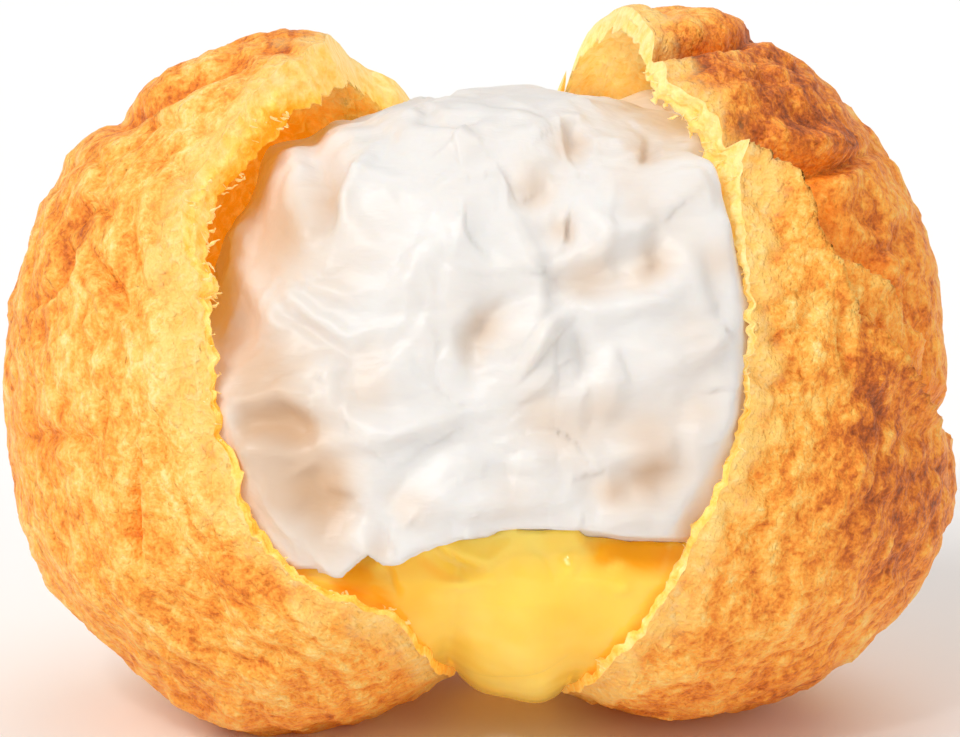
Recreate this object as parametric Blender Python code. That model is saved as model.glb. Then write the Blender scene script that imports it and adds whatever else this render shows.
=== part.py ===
"""A cream puff torn open at the front: one choux shell of two lobes, whipped cream, and custard under it."""

import math

import bmesh
import bpy
import numpy as np

MM = 0.001
TURN = 2.0 * math.pi
STRAIGHT_UP = 0.5 * math.pi

# Outlines and folds are drawn on a sheet that faces the puff from the front and slightly above.
# Sheet points run across from the left and down from the top, at PITCH metres a step.
PITCH = 0.105 * MM
SHEET_MIDDLE = (480.0, 368.0)
SHEET_TILT = math.radians(15.0)
MIDDLE_HEIGHT = 37.0 * MM
FOOTPRINT_MIDDLE = (0.13 * MM, -0.41 * MM)
HALF_DEPTH = 39.0 * MM
ROUNDNESS = 2.2

WALL = 5.2 * MM
RIM_WALL = 3.6 * MM
RIM_TAPER = 0.45
CREAM_GAP = 0.5 * MM
CUSTARD_GAP = 1.3 * MM
HIDDEN_GAP = 1.6 * MM
HIDDEN_FROM_RIM = (0.08, 0.40)
LAYER_GAP = 0.3 * MM
HIDDEN_LAYER_GAP = 1.6 * MM
CREAM_RISE = (0.075, 0.23)
CUSTARD_RISE = (0.035, 0.085)

# Crumb thickens the wall where the cream stands off it, and leaves a slot beside the cream.
SLOT = 3.2 * MM
CRUMB_TAPER = 0.32
# Behind these parts of the way back and across, the cream fills the hollow up to the wall.
FILLED_BACK = (0.0, 0.45)
FILLED_ACROSS = (-0.55, -0.25)

# Folds fade out between these parts of the way back, and start again on the back.
FRONT_FOLDS = (0.38, -0.04)
BACK_FOLDS = (0.38, 0.61)
CREAM_FOLDED = (0.38, -0.38)
BACK_CLEAR = (6.0 * MM, 14.0 * MM)
FOLD_END = 0.35
FOLD_END_CURVE = 0.7
STEP_RAISED = 0.45
STEP_RAISED_WIDTHS = 5.0
STEP_SUNK = 0.55
STEP_SUNK_WIDTHS = 2.5
STEP_EDGE = 0.6

SHELL_LINES = 104
OUTER_ROWS = 25
BAND_ROWS = 2
INNER_ROWS = 8
ROW_CROWDING = 1.25
CREAM_LINES = 60
CREAM_ROWS = 40
CREAM_LINE_CROWDING = 0.45
CREAM_ROW_CROWDING = 0.35
CUSTARD_LINES = 60
CUSTARD_ROWS = 34
HALVINGS = 30

BODY_OUTLINE = (
    (3, 385), (8, 330), (22, 248), (42, 200), (78, 138), (116, 122), (150, 84), (200, 55), (268, 28), (305, 28),
    (350, 40), (420, 56), (490, 60), (560, 42), (600, 16), (625, 3), (650, 2), (700, 7), (742, 22), (757, 36),
    (780, 47), (812, 70), (850, 106), (885, 152), (912, 202), (938, 255), (952, 330), (958, 380), (944, 425),
    (954, 455), (954, 500), (945, 542), (918, 592), (880, 638), (830, 675), (780, 699), (735, 713), (675, 722),
    (635, 716), (600, 704), (565, 691), (505, 681), (445, 673), (418, 696), (385, 711), (340, 727), (270, 736),
    (215, 726), (165, 700), (125, 668), (80, 627), (52, 590), (28, 540), (14, 485), (6, 432),
)

# The torn edge: across, down, and whether it is on the far side of the outline.
RIM_FRONT = -1
RIM_BACK = 1
OPENING_RISE = math.radians(8.0)
RIM_PATH = (
    (505, 652, RIM_BACK), (462, 662, RIM_BACK), (444, 674, RIM_FRONT), (428, 656, RIM_FRONT),
    (412, 638, RIM_FRONT), (400, 624, RIM_FRONT), (386, 614, RIM_FRONT), (352, 602, RIM_FRONT),
    (328, 590, RIM_FRONT), (298, 566, RIM_FRONT), (278, 544, RIM_FRONT), (256, 516, RIM_FRONT),
    (238, 484, RIM_FRONT), (224, 450, RIM_FRONT), (214, 424, RIM_FRONT), (208, 390, RIM_FRONT),
    (205, 350, RIM_FRONT), (203, 310, RIM_FRONT), (196, 284, RIM_FRONT), (186, 255, RIM_FRONT),
    (180, 226, RIM_FRONT), (186, 200, RIM_FRONT), (202, 168, RIM_FRONT), (224, 142, RIM_FRONT),
    (244, 113, RIM_FRONT), (264, 88, RIM_FRONT), (294, 60, RIM_FRONT), (326, 43, RIM_FRONT),
    (346, 50, RIM_BACK), (366, 64, RIM_BACK), (392, 74, RIM_BACK), (412, 98, RIM_BACK),
    (450, 128, RIM_BACK), (500, 138, RIM_BACK), (545, 122, RIM_BACK), (565, 92, RIM_BACK),
    (567, 68, RIM_BACK), (580, 46, RIM_BACK), (590, 28, RIM_BACK), (606, 14, RIM_BACK),
    (630, 8, RIM_FRONT), (650, 28, RIM_FRONT), (657, 58, RIM_FRONT), (664, 84, RIM_FRONT),
    (690, 108, RIM_FRONT), (716, 127, RIM_FRONT), (734, 152, RIM_FRONT), (741, 184, RIM_FRONT),
    (744, 216, RIM_FRONT), (747, 250, RIM_FRONT), (750, 300, RIM_FRONT), (751, 350, RIM_FRONT),
    (748, 395, RIM_FRONT), (741, 432, RIM_FRONT), (728, 466, RIM_FRONT), (711, 496, RIM_FRONT),
    (693, 524, RIM_FRONT), (683, 552, RIM_FRONT), (673, 580, RIM_FRONT), (659, 604, RIM_FRONT),
    (645, 624, RIM_FRONT), (614, 652, RIM_FRONT), (603, 668, RIM_FRONT), (584, 685, RIM_FRONT),
    (566, 693, RIM_FRONT), (546, 668, RIM_BACK),
)

CREAM_OUTLINE = (
    (60, 440), (100, 390), (150, 356), (188, 334), (206, 314), (222, 262), (246, 200), (266, 156), (288, 136),
    (302, 147), (312, 137), (330, 121), (370, 117), (405, 101), (440, 95), (490, 90), (540, 88), (570, 92),
    (600, 99), (640, 108), (690, 118), (760, 120), (860, 170), (920, 300), (930, 420), (900, 560), (780, 660),
    (480, 690), (200, 660), (60, 520),
)
CREAM_HALF_DEPTH = 37.6 * MM
CREAM_ROUNDNESS = 2.9

# The line along which the cream's lip ends over the custard.
LIP_LINE = (
    (200, 568), (320, 574), (352, 562), (388, 552), (440, 538), (490, 527), (560, 522), (675, 533), (860, 505),
)
LIP_DEPTH = -33.0 * MM
LIP_THICKNESS = 6.0 * MM
LAYER_DOWN = 545.0
LAYER_FALL = 0.12

CUSTARD_MIDDLE = (512, 602, -12.0 * MM)
CUSTARD_AIM = math.radians(-48.0)
CUSTARD_CROWDING = 1.2
CUSTARD_SWELL = (
    (420, 0.90), (530, 0.90), (570, 0.925), (600, 0.955), (640, 1.0), (670, 1.04), (690, 1.07), (710, 1.095),
    (760, 1.10),
)
# How much of the custard's swell is left across the tongue that runs down between the lobes.
CUSTARD_TONGUE = (
    (430, 0.05), (446, 0.25), (458, 0.55), (474, 0.85), (496, 1.0), (528, 1.0), (546, 0.72), (562, 0.34),
    (578, 0.1), (600, 0.0),
)
TONGUE_START = 0.955
CUSTARD_UNDERSIDE = 0.93
UNDERSIDE_DEPTHS = (-0.15, 0.30)

# Folds of the crust as (sheet points, width in steps, height, kind).
RIDGE = "ridge"
STEP = "step"
CRUST_FOLDS = (
    (((118, 124), (150, 106), (180, 88), (206, 74), (240, 60)), 15, -2.4 * MM, RIDGE),
    (((150, 126), (190, 112), (232, 100)), 18, 1.2 * MM, RIDGE),
    (((112, 196), (84, 208), (62, 206)), 16, -1.2 * MM, RIDGE),
    (((74, 236), (54, 280), (50, 340)), 16, -1.4 * MM, RIDGE),
    (((20, 395), (60, 420), (100, 440), (104, 482)), 17, -0.9 * MM, RIDGE),
    (((146, 470), (138, 515), (143, 568)), 16, -1.5 * MM, RIDGE),
    (((150, 560), (180, 610), (250, 640), (330, 645)), 18, -0.7 * MM, RIDGE),
    (((170, 240), (150, 300), (170, 350), (160, 420)), 24, 1.0 * MM, RIDGE),
    (((180, 470), (230, 570), (320, 630)), 26, 1.0 * MM, RIDGE),
    (((30, 500), (70, 560), (130, 600)), 24, 0.8 * MM, RIDGE),
    (((655, 52), (700, 44), (760, 36)), 15, -2.0 * MM, RIDGE),
    (((662, 26), (700, 20), (745, 20)), 18, 1.0 * MM, RIDGE),
    (((770, 152), (815, 166), (880, 152)), 15, -2.4 * MM, RIDGE),
    (((700, 108), (750, 84), (800, 96), (846, 140)), 30, 1.5 * MM, RIDGE),
    (((856, 302), (850, 285), (830, 248), (812, 215), (798, 186), (775, 157), (722, 128)), 15, -5.6 * MM, STEP),
    (((945, 430), (920, 398), (894, 358), (870, 325), (856, 310)), 16, -3.4 * MM, STEP),
    (((872, 236), (888, 264), (902, 300)), 16, -2.0 * MM, RIDGE),
    (((905, 226), (922, 290), (938, 350), (940, 420)), 15, -2.0 * MM, RIDGE),
    (((815, 330), (850, 400), (850, 470), (800, 560)), 30, 1.0 * MM, RIDGE),
    (((760, 380), (790, 420), (790, 480)), 18, -0.7 * MM, RIDGE),
    (((944, 425), (900, 440), (860, 470)), 16, -0.9 * MM, RIDGE),
    (((700, 640), (770, 620), (850, 560)), 26, 0.8 * MM, RIDGE),
)

CREAM_FOLDS = (
    (((320, 152), (324, 190), (332, 226)), 18, -2.4 * MM, RIDGE),
    (((380, 150), (400, 170)), 40, 1.6 * MM, RIDGE),
    (((236, 250), (262, 300), (330, 330)), 18, 0.9 * MM, RIDGE),
    (((300, 372), (345, 358), (350, 409), (450, 408)), 15, 2.8 * MM, STEP),
    (((236, 424), (280, 420), (326, 432)), 18, -2.2 * MM, RIDGE),
    (((306, 462), (326, 488), (350, 512)), 20, -2.2 * MM, RIDGE),
    (((506, 303), (482, 318), (470, 344), (480, 368)), 15, -2.5 * MM, RIDGE),
    (((528, 338), (542, 352)), 28, 2.2 * MM, RIDGE),
    (((516, 205), (540, 240), (548, 290), (548, 332)), 15, 2.0 * MM, STEP),
    (((568, 144), (584, 140)), 18, -2.0 * MM, RIDGE),
    (((644, 152), (660, 156)), 18, -1.7 * MM, RIDGE),
    (((566, 226), (580, 228)), 17, -1.6 * MM, RIDGE),
    (((556, 296), (600, 276), (650, 266)), 17, -2.0 * MM, RIDGE),
    (((560, 330), (610, 304), (670, 292)), 18, 1.1 * MM, RIDGE),
    (((420, 190), (450, 240), (440, 300)), 26, 1.2 * MM, RIDGE),
    (((500, 408), (560, 396), (690, 386)), 17, 1.3 * MM, RIDGE),
    (((545, 434), (620, 426), (700, 434)), 16, -1.6 * MM, RIDGE),
    (((400, 514), (420, 476), (470, 453), (530, 456)), 15, 2.4 * MM, STEP),
    (((640, 484), (690, 470)), 16, -1.3 * MM, RIDGE),
    (((374, 528), (400, 538), (450, 524), (520, 510)), 16, 1.4 * MM, RIDGE),
)

CRUST_COLOUR = (0.80, 0.40, 0.11)
CRUST_ROUGHNESS = 0.55
CREAM_COLOUR = (0.93, 0.90, 0.84)
CREAM_ROUGHNESS = 0.45
CUSTARD_COLOUR = (0.98, 0.66, 0.14)
CUSTARD_ROUGHNESS = 0.2


def smooth(low, high, value):
    """0 under low, 1 over high, and an even rise between them."""
    share = np.clip((value - low) / (high - low), 0.0, 1.0)
    return share * share * (3.0 - 2.0 * share)


class Outline:
    """A closed sheet outline, read as a distance from the sheet's middle at any angle."""

    SAMPLES = 1440
    SOFTENING = 7

    def __init__(self, points):
        at = (np.array(points, float) - SHEET_MIDDLE) * (PITCH, -PITCH)
        angle = np.arctan2(at[:, 1], at[:, 0]) % TURN
        order = np.argsort(angle)
        grid = np.arange(self.SAMPLES) * TURN / self.SAMPLES
        table = np.interp(grid, angle[order], np.hypot(at[order, 0], at[order, 1]), period=TURN)
        reach = np.arange(-2 * self.SOFTENING, 2 * self.SOFTENING + 1)
        weight = np.exp(-0.5 * (reach / self.SOFTENING) ** 2)
        table = sum(w * np.roll(table, shift) for w, shift in zip(weight / weight.sum(), reach))
        self.grid = grid
        self.table = table

    def radius(self, angle):
        return np.interp(angle % TURN, self.grid, self.table, period=TURN)


BODY = Outline(BODY_OUTLINE)
CREAM = Outline(CREAM_OUTLINE)


def sheet(points):
    """Where points of the puff's own frame (across, up, away) fall on the sheet."""
    across = points[:, 0] / PITCH + SHEET_MIDDLE[0]
    down = SHEET_MIDDLE[1] - points[:, 1] / PITCH
    return np.stack([across, down], axis=1)


def reach(directions, outline, half_depth, roundness):
    """How far along each direction a rounded body with this outline and depth goes."""
    flat = np.hypot(directions[:, 0], directions[:, 1])
    radius = outline.radius(np.arctan2(directions[:, 1], directions[:, 0]))
    size = (flat / radius) ** roundness + np.abs(directions[:, 2] / half_depth) ** roundness
    return size ** (-1.0 / roundness)


def place_on(line, at):
    """Each point's distance from the line, the side of it, and the share of the line before it."""
    nearest = np.full(len(at), np.inf)
    side = np.zeros(len(at))
    along = np.zeros(len(at))
    last = len(line) - 1
    for i in range(last):
        step = line[i + 1] - line[i]
        away = at - line[i]
        share = np.clip(away @ step / (step @ step), 0.0, 1.0)
        gap = away - share[:, None] * step
        distance = np.hypot(gap[:, 0], gap[:, 1])
        closer = distance < nearest
        nearest = np.where(closer, distance, nearest)
        side = np.where(closer, np.sign(step[0] * away[:, 1] - step[1] * away[:, 0]), side)
        along = np.where(closer, (i + share) / last, along)
    return nearest, side, np.clip(along, 0.0, 1.0)


def fold_height(at, folds):
    """The height that all folds together give at these sheet points."""
    total = np.zeros(len(at))
    for points, width, height, kind in folds:
        nearest, side, along = place_on(np.array(points, float), at)
        taper = FOLD_END + (1.0 - FOLD_END) * np.sin(math.pi * along) ** FOLD_END_CURVE
        if kind == RIDGE:
            total += height * taper * np.exp(-((nearest / width) ** 2))
        else:
            edge = nearest * side / width
            raised = np.exp(-np.clip(edge, 0.0, None) / STEP_RAISED_WIDTHS) * smooth(-STEP_EDGE, STEP_EDGE, edge)
            sunk = np.exp(-np.clip(-edge, 0.0, None) / STEP_SUNK_WIDTHS) * smooth(-STEP_EDGE, STEP_EDGE, -edge)
            total += height * taper * (STEP_RAISED * raised - STEP_SUNK * sunk)
    return total


def crust_relief(directions, points):
    """Folds of the front, and the same folds turned round for the back."""
    at = sheet(points)
    turned = (2.0 * SHEET_MIDDLE[0], 0.0) + at * (-1.0, 1.0)
    front = smooth(*FRONT_FOLDS, directions[:, 2])
    back = smooth(*BACK_FOLDS, directions[:, 2]) * smooth(*BACK_CLEAR, np.abs(points[:, 0]))
    return fold_height(at, CRUST_FOLDS) * front + fold_height(turned, CRUST_FOLDS) * back


def rim_directions():
    """Directions from the middle to the corners of the torn edge."""
    path = np.array(RIM_PATH, float)
    at = (path[:, :2] - SHEET_MIDDLE) * (PITCH, -PITCH)
    radius = BODY.radius(np.arctan2(at[:, 1], at[:, 0]))
    flat = np.clip(np.hypot(at[:, 0], at[:, 1]) / radius, 0.0, 1.0)
    away = path[:, 2] * (1.0 - flat**ROUNDNESS) ** (1.0 / ROUNDNESS) * HALF_DEPTH
    found = np.column_stack([at, away])
    return found / np.linalg.norm(found, axis=1, keepdims=True)


def forward_axes(rise):
    """An axis that leaves the puff's front at this rise, and the upward axis square to it."""
    return (
        np.array([0.0, math.sin(rise), -math.cos(rise)]),
        np.array([0.0, math.cos(rise), math.sin(rise)]),
    )


def polar(directions, rise=OPENING_RISE):
    """Turn about the forward axis, and angle from it."""
    forward, upward = forward_axes(rise)
    turn = np.arctan2(directions[:, 0], directions @ upward) % TURN
    return turn, np.arccos(np.clip(directions @ forward, -1.0, 1.0))


def direction(turn, angle, rise=OPENING_RISE):
    """The unit direction at this turn about the forward axis and angle from it."""
    forward, upward = forward_axes(rise)
    flat = np.sin(angle)
    across = (flat * np.sin(turn))[:, None] * np.array([1.0, 0.0, 0.0])
    return across + (flat * np.cos(turn))[:, None] * upward + np.cos(angle)[:, None] * forward


class Rim:
    """The torn edge as an angle from the opening's axis at each turn about it."""

    SAMPLES = 2880
    EDGE_POINTS = 480

    def __init__(self):
        turn, angle = polar(rim_directions())
        order = np.argsort(turn)
        self.turn = turn[order]
        self.angle_at_turn = angle[order]

    def angle(self, turn):
        """The torn edge's angle from the opening's axis at each turn."""
        return np.interp(turn % TURN, self.turn, self.angle_at_turn, period=TURN)

    def even_turns(self, count):
        """Turns spread evenly by the length of the edge and of the widest circle together."""
        grid = np.arange(self.SAMPLES + 1) * TURN / self.SAMPLES
        angle = self.angle(grid)
        edge = np.hypot(np.diff(angle), np.sin(angle[1:]) * TURN / self.SAMPLES)
        length = np.concatenate([[0.0], np.cumsum(edge / edge.sum() + 1.0 / self.SAMPLES)])
        return np.interp(np.arange(count) * length[-1] / count, length, grid)

    def inside(self, directions):
        """Angle from the torn edge, above 0 inside the opening and below 0 under the crust."""
        turn, angle = polar(directions)
        edge_turn = self.even_turns(self.EDGE_POINTS)
        edge = direction(edge_turn, self.angle(edge_turn))
        nearest = np.arccos(np.clip((directions @ edge.T).max(axis=1), -1.0, 1.0))
        return np.where(angle < self.angle(turn), nearest, -nearest)


RIM = Rim()


def ball(name, lines, rows):
    """A closed ball of lines and rows, and the line and row of each of its vertices."""
    mesh = bpy.data.meshes.new(name)
    work = bmesh.new()
    bmesh.ops.create_uvsphere(work, u_segments=lines, v_segments=rows, radius=1.0)
    work.to_mesh(mesh)
    work.free()
    at = np.empty(len(mesh.vertices) * 3)
    mesh.vertices.foreach_get("co", at)
    at = at.reshape(-1, 3)
    line = np.round(np.arctan2(at[:, 1], at[:, 0]) % TURN / TURN * lines).astype(int) % lines
    row = np.round(np.arccos(np.clip(at[:, 2], -1.0, 1.0)) / math.pi * rows).astype(int)
    return mesh, line, row


def stand(points):
    """Points of the puff's own frame as points that stand on the table, with the underside flat."""
    away = points[:, 1] * math.sin(SHEET_TILT) + points[:, 2] * math.cos(SHEET_TILT)
    height = points[:, 1] * math.cos(SHEET_TILT) - points[:, 2] * math.sin(SHEET_TILT) + MIDDLE_HEIGHT
    across_shift, away_shift = FOOTPRINT_MIDDLE
    return np.column_stack([points[:, 0] - across_shift, away - away_shift, np.maximum(height, 0.0)])


def finish(mesh, points, collection, material):
    """The mesh with these points as a smooth object of the collection."""
    mesh.vertices.foreach_set("co", stand(points).ravel())
    work = bmesh.new()
    work.from_mesh(mesh)
    bmesh.ops.recalc_face_normals(work, faces=work.faces)
    work.to_mesh(mesh)
    work.free()
    mesh.shade_smooth()
    mesh.materials.append(material)
    made = bpy.data.objects.new(mesh.name, mesh)
    collection.objects.link(made)
    return made


def cream_body(directions):
    """Distance from the middle to the cream's rounded body, without its folds."""
    body = reach(directions, CREAM, CREAM_HALF_DEPTH, CREAM_ROUNDNESS)
    wall = reach(directions, BODY, HALF_DEPTH, ROUNDNESS) - WALL - HIDDEN_GAP
    filled = smooth(*FILLED_BACK, directions[:, 2]) * smooth(*FILLED_ACROSS, directions[:, 0])
    return body + np.clip(wall - body, 0.0, None) * filled


def outer_distance(directions):
    """Distance from the middle to the crust's outer surface."""
    distance = reach(directions, BODY, HALF_DEPTH, ROUNDNESS)
    return distance + crust_relief(directions, directions * distance[:, None])


def inner_distance(directions, inside):
    """Distance from the middle to the hollow's wall, at these angles inside the torn edge."""
    thickness = RIM_WALL + (WALL - RIM_WALL) * smooth(0.0, RIM_TAPER, -inside)
    wall = reach(directions, BODY, HALF_DEPTH, ROUNDNESS) - thickness
    crumb = np.clip(wall - SLOT - cream_body(directions), 0.0, None)
    return wall - crumb * smooth(0.0, CRUMB_TAPER, -inside)


def shell(collection, material):
    rows = OUTER_ROWS + BAND_ROWS + INNER_ROWS
    mesh, line, row = ball("choux_shell", SHELL_LINES, rows)
    turn = RIM.even_turns(SHELL_LINES)[line]
    edge = RIM.angle(turn)
    outer = row <= OUTER_ROWS
    inner = row >= OUTER_ROWS + BAND_ROWS
    outward = np.clip(row / OUTER_ROWS, 0.0, 1.0)
    inward = np.clip((rows - row) / INNER_ROWS, 0.0, 1.0)
    share = 1.0 - (1.0 - np.where(outer, outward, inward)) ** ROW_CROWDING
    angle = math.pi + (edge - math.pi) * share
    way = direction(turn, angle)
    out = outer_distance(way)
    hollow = inner_distance(way, RIM.inside(way))
    across = (row - OUTER_ROWS) / BAND_ROWS
    distance = np.where(outer, out, np.where(inner, hollow, out + (hollow - out) * across))
    return finish(mesh, way * distance[:, None], collection, material)


def interface_height(points):
    """Height, in the puff's own frame, of the custard's top, and the gap from it to the cream."""
    lip = np.array(LIP_LINE, float)
    hidden = smooth(0.0, LIP_THICKNESS, points[:, 2] - LIP_DEPTH)
    down = np.interp(sheet(points)[:, 0], lip[:, 0], lip[:, 1])
    down = down + (LAYER_DOWN - down) * hidden
    height = (SHEET_MIDDLE[1] - down) * PITCH + LAYER_FALL * (points[:, 2] - LIP_DEPTH)
    return height, LAYER_GAP + (HIDDEN_LAYER_GAP - LAYER_GAP) * hidden


def filling_limit(directions, free, rise, rim_gap):
    """The filling's distance: free inside the opening, and held off the wall near and under the crust."""
    inside = RIM.inside(directions)
    gap = rim_gap + (HIDDEN_GAP - rim_gap) * smooth(*HIDDEN_FROM_RIM, -inside)
    held = inner_distance(directions, inside) - gap
    return np.where(free > held, held + (free - held) * smooth(*rise, inside), free)


def cream_distance(directions):
    """Distance from the middle to the cream, found by halving where it ends on the custard."""
    free = cream_body(directions)
    at = sheet(directions * free[:, None])
    free = free + fold_height(at, CREAM_FOLDS) * smooth(*CREAM_FOLDED, directions[:, 2])
    limit = filling_limit(directions, free, CREAM_RISE, CREAM_GAP)
    low = np.zeros(len(directions))
    high = limit
    for _ in range(HALVINGS):
        middle = 0.5 * (low + high)
        points = directions * middle[:, None]
        layer, gap = interface_height(points)
        above = points[:, 1] > layer + gap
        low = np.where(above, middle, low)
        high = np.where(above, high, middle)
    return low


def cream(collection, material):
    mesh, line, row = ball("whipped_cream", CREAM_LINES, CREAM_ROWS)
    around = line / CREAM_LINES
    down = row / CREAM_ROWS
    turn = TURN * around + CREAM_LINE_CROWDING * np.sin(TURN * around)
    angle = math.pi * down + 0.5 * CREAM_ROW_CROWDING * np.sin(TURN * down)
    way = direction(turn, angle, STRAIGHT_UP)
    return finish(mesh, way * cream_distance(way)[:, None], collection, material)


def custard_inside(points):
    """Which points are in the custard."""
    distance = np.linalg.norm(points, axis=1)
    directions = points / distance[:, None]
    swell = np.array(CUSTARD_SWELL)
    at = sheet(points)
    share = np.interp(at[:, 1], swell[:, 0], swell[:, 1])
    tongue = np.array(CUSTARD_TONGUE)
    kept = np.interp(at[:, 0], tongue[:, 0], tongue[:, 1])
    share = np.minimum(share, TONGUE_START) + np.clip(share - TONGUE_START, 0.0, None) * kept
    share = share + (CUSTARD_UNDERSIDE - share) * smooth(*UNDERSIDE_DEPTHS, directions[:, 2])
    free = reach(directions, BODY, HALF_DEPTH, ROUNDNESS) * share
    layer, _ = interface_height(points)
    limit = filling_limit(directions, free, CUSTARD_RISE, CUSTARD_GAP)
    return (points[:, 1] < layer) & (distance < limit)


def custard(collection, material):
    mesh, line, row = ball("custard", CUSTARD_LINES, CUSTARD_ROWS)
    turn = line * TURN / CUSTARD_LINES
    angle = math.pi * (1.0 - row / CUSTARD_ROWS) ** CUSTARD_CROWDING
    way = direction(turn, angle, CUSTARD_AIM)
    across, down, away = CUSTARD_MIDDLE
    middle = np.array([
        (across - SHEET_MIDDLE[0]) * PITCH,
        (SHEET_MIDDLE[1] - down) * PITCH,
        away,
    ])
    low = np.zeros(len(way))
    high = np.full(len(way), 2.0 * HALF_DEPTH)
    for _ in range(HALVINGS):
        half = 0.5 * (low + high)
        held = custard_inside(middle + way * half[:, None])
        low = np.where(held, half, low)
        high = np.where(held, high, half)
    return finish(mesh, middle + way * low[:, None], collection, material)


def plain_material(name, colour, roughness):
    made = bpy.data.materials.new(name)
    made.use_nodes = True
    shader = made.node_tree.nodes["Principled BSDF"]
    shader.inputs["Base Color"].default_value = (*colour, 1.0)
    shader.inputs["Roughness"].default_value = roughness
    shader.inputs["Metallic"].default_value = 0.0
    return made


def main():
    for old in list(bpy.data.objects):
        bpy.data.objects.remove(old)
    puff = bpy.data.collections.new("cream_puff")
    bpy.context.scene.collection.children.link(puff)
    shell(puff, plain_material("crust", CRUST_COLOUR, CRUST_ROUGHNESS))
    cream(puff, plain_material("cream", CREAM_COLOUR, CREAM_ROUGHNESS))
    custard(puff, plain_material("custard", CUSTARD_COLOUR, CUSTARD_ROUGHNESS))


main()
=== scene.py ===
"""The looks of a torn cream puff: crust, whipped cream and custard in detail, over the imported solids."""

import math

import bmesh
import bpy
import numpy as np
from mathutils import Euler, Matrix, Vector

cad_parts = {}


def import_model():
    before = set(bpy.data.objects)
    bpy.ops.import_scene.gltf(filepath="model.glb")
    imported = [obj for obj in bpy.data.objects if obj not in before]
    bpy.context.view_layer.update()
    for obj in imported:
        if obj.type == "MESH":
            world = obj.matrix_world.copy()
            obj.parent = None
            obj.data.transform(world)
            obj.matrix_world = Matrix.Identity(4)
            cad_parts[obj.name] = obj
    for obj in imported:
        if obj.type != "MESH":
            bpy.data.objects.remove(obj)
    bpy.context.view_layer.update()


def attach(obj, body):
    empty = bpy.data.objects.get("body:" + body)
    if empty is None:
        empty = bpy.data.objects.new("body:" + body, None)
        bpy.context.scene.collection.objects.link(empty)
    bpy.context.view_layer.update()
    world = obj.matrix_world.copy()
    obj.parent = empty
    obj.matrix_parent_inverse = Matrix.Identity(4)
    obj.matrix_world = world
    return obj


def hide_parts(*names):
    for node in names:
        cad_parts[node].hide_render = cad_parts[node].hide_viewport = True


MM = 0.001
TURN = 2.0 * math.pi
STRAIGHT_UP = 0.5 * math.pi

# Outlines and folds are drawn on a sheet that faces the puff from the front and slightly above.
# Sheet points run across from the left and down from the top, at PITCH metres a step.
PITCH = 0.105 * MM
SHEET_SIZE = (960.0, 737.0)
SHEET_MIDDLE = (480.0, 368.0)
SHEET_TILT = math.radians(15.0)
MIDDLE_HEIGHT = 37.0 * MM
FOOTPRINT_MIDDLE = (0.13 * MM, -0.41 * MM)
HALF_DEPTH = 39.0 * MM
ROUNDNESS = 2.2

WALL = 5.2 * MM
# The wall at the torn edge, as (turn in degrees, thickness).
RIM_WALL = (
    (0, 3.0 * MM), (30, 3.4 * MM), (45, 3.8 * MM), (52, 5.0 * MM), (59, 4.8 * MM), (66, 3.4 * MM), (74, 2.0 * MM),
    (86, 1.4 * MM), (110, 1.4 * MM), (130, 1.6 * MM), (180, 1.6 * MM), (215, 1.0 * MM), (262, 1.5 * MM),
    (272, 2.2 * MM), (280, 3.8 * MM), (290, 4.6 * MM), (305, 5.4 * MM), (330, 6.4 * MM), (345, 5.0 * MM),
    (360, 3.0 * MM),
)
# How baked the torn edge looks, as (turn in degrees, share).
RIM_TONE = (
    (0, 0.0), (40, 0.0), (60, 0.12), (110, 0.22), (135, 0.40), (190, 0.66), (250, 0.62), (272, 0.36),
    (290, 0.16), (320, 0.10), (360, 0.0),
)
RIM_TAPER = 0.45
LEAST_WALL = 0.9 * MM
LEAST_COVER = 1.3 * MM
COVERED = 0.03
CREAM_GAP = 0.2 * MM
CUSTARD_GAP = -0.3 * MM
HIDDEN_GAP = 1.0 * MM
HIDDEN_FROM_RIM = (0.08, 0.40)
LAYER_GAP = -0.25 * MM
HIDDEN_LAYER_GAP = -0.2 * MM
CREAM_RISE = (-0.01, 0.07)
CUSTARD_RISE = (-0.01, 0.05)

# Crumb thickens the wall where the cream stands off it, and leaves a slot beside the cream.
SLOT = 3.2 * MM
CRUMB_TAPER = 0.32
FILLED_BACK = (0.0, 0.45)
FILLED_ACROSS = (-0.55, -0.25)
FILLED_UNDER = (0.05, 0.30)

# Folds fade out between these parts of the way back, and start again on the back.
FRONT_FOLDS = (0.38, -0.04)
BACK_FOLDS = (0.38, 0.61)
CREAM_FOLDED = (0.38, -0.38)
BACK_CLEAR = (6.0 * MM, 14.0 * MM)
FOLD_END = 0.35
FOLD_END_CURVE = 0.7
STEP_RAISED = 0.45
STEP_RAISED_WIDTHS = 5.0
STEP_SUNK = 0.55
STEP_SUNK_WIDTHS = 2.5
STEP_EDGE = 0.6
CREAM_STEP_EDGE = 1.7
FOLD_REACH = 3.2
STEP_REACH = 16.0
CURVE_STEPS = 3

SHELL_LINES = 560
OUTER_ROWS = 172
BAND_ROWS = 18
INNER_ROWS = 50
ROW_CROWDING = 1.3
CREAM_LINES = 420
CREAM_ROWS = 230
CREAM_LINE_CROWDING = 0.55
CREAM_ROW_CROWDING = 0.45
CUSTARD_LINES = 240
CUSTARD_ROWS = 160
HALVINGS = 18

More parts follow.
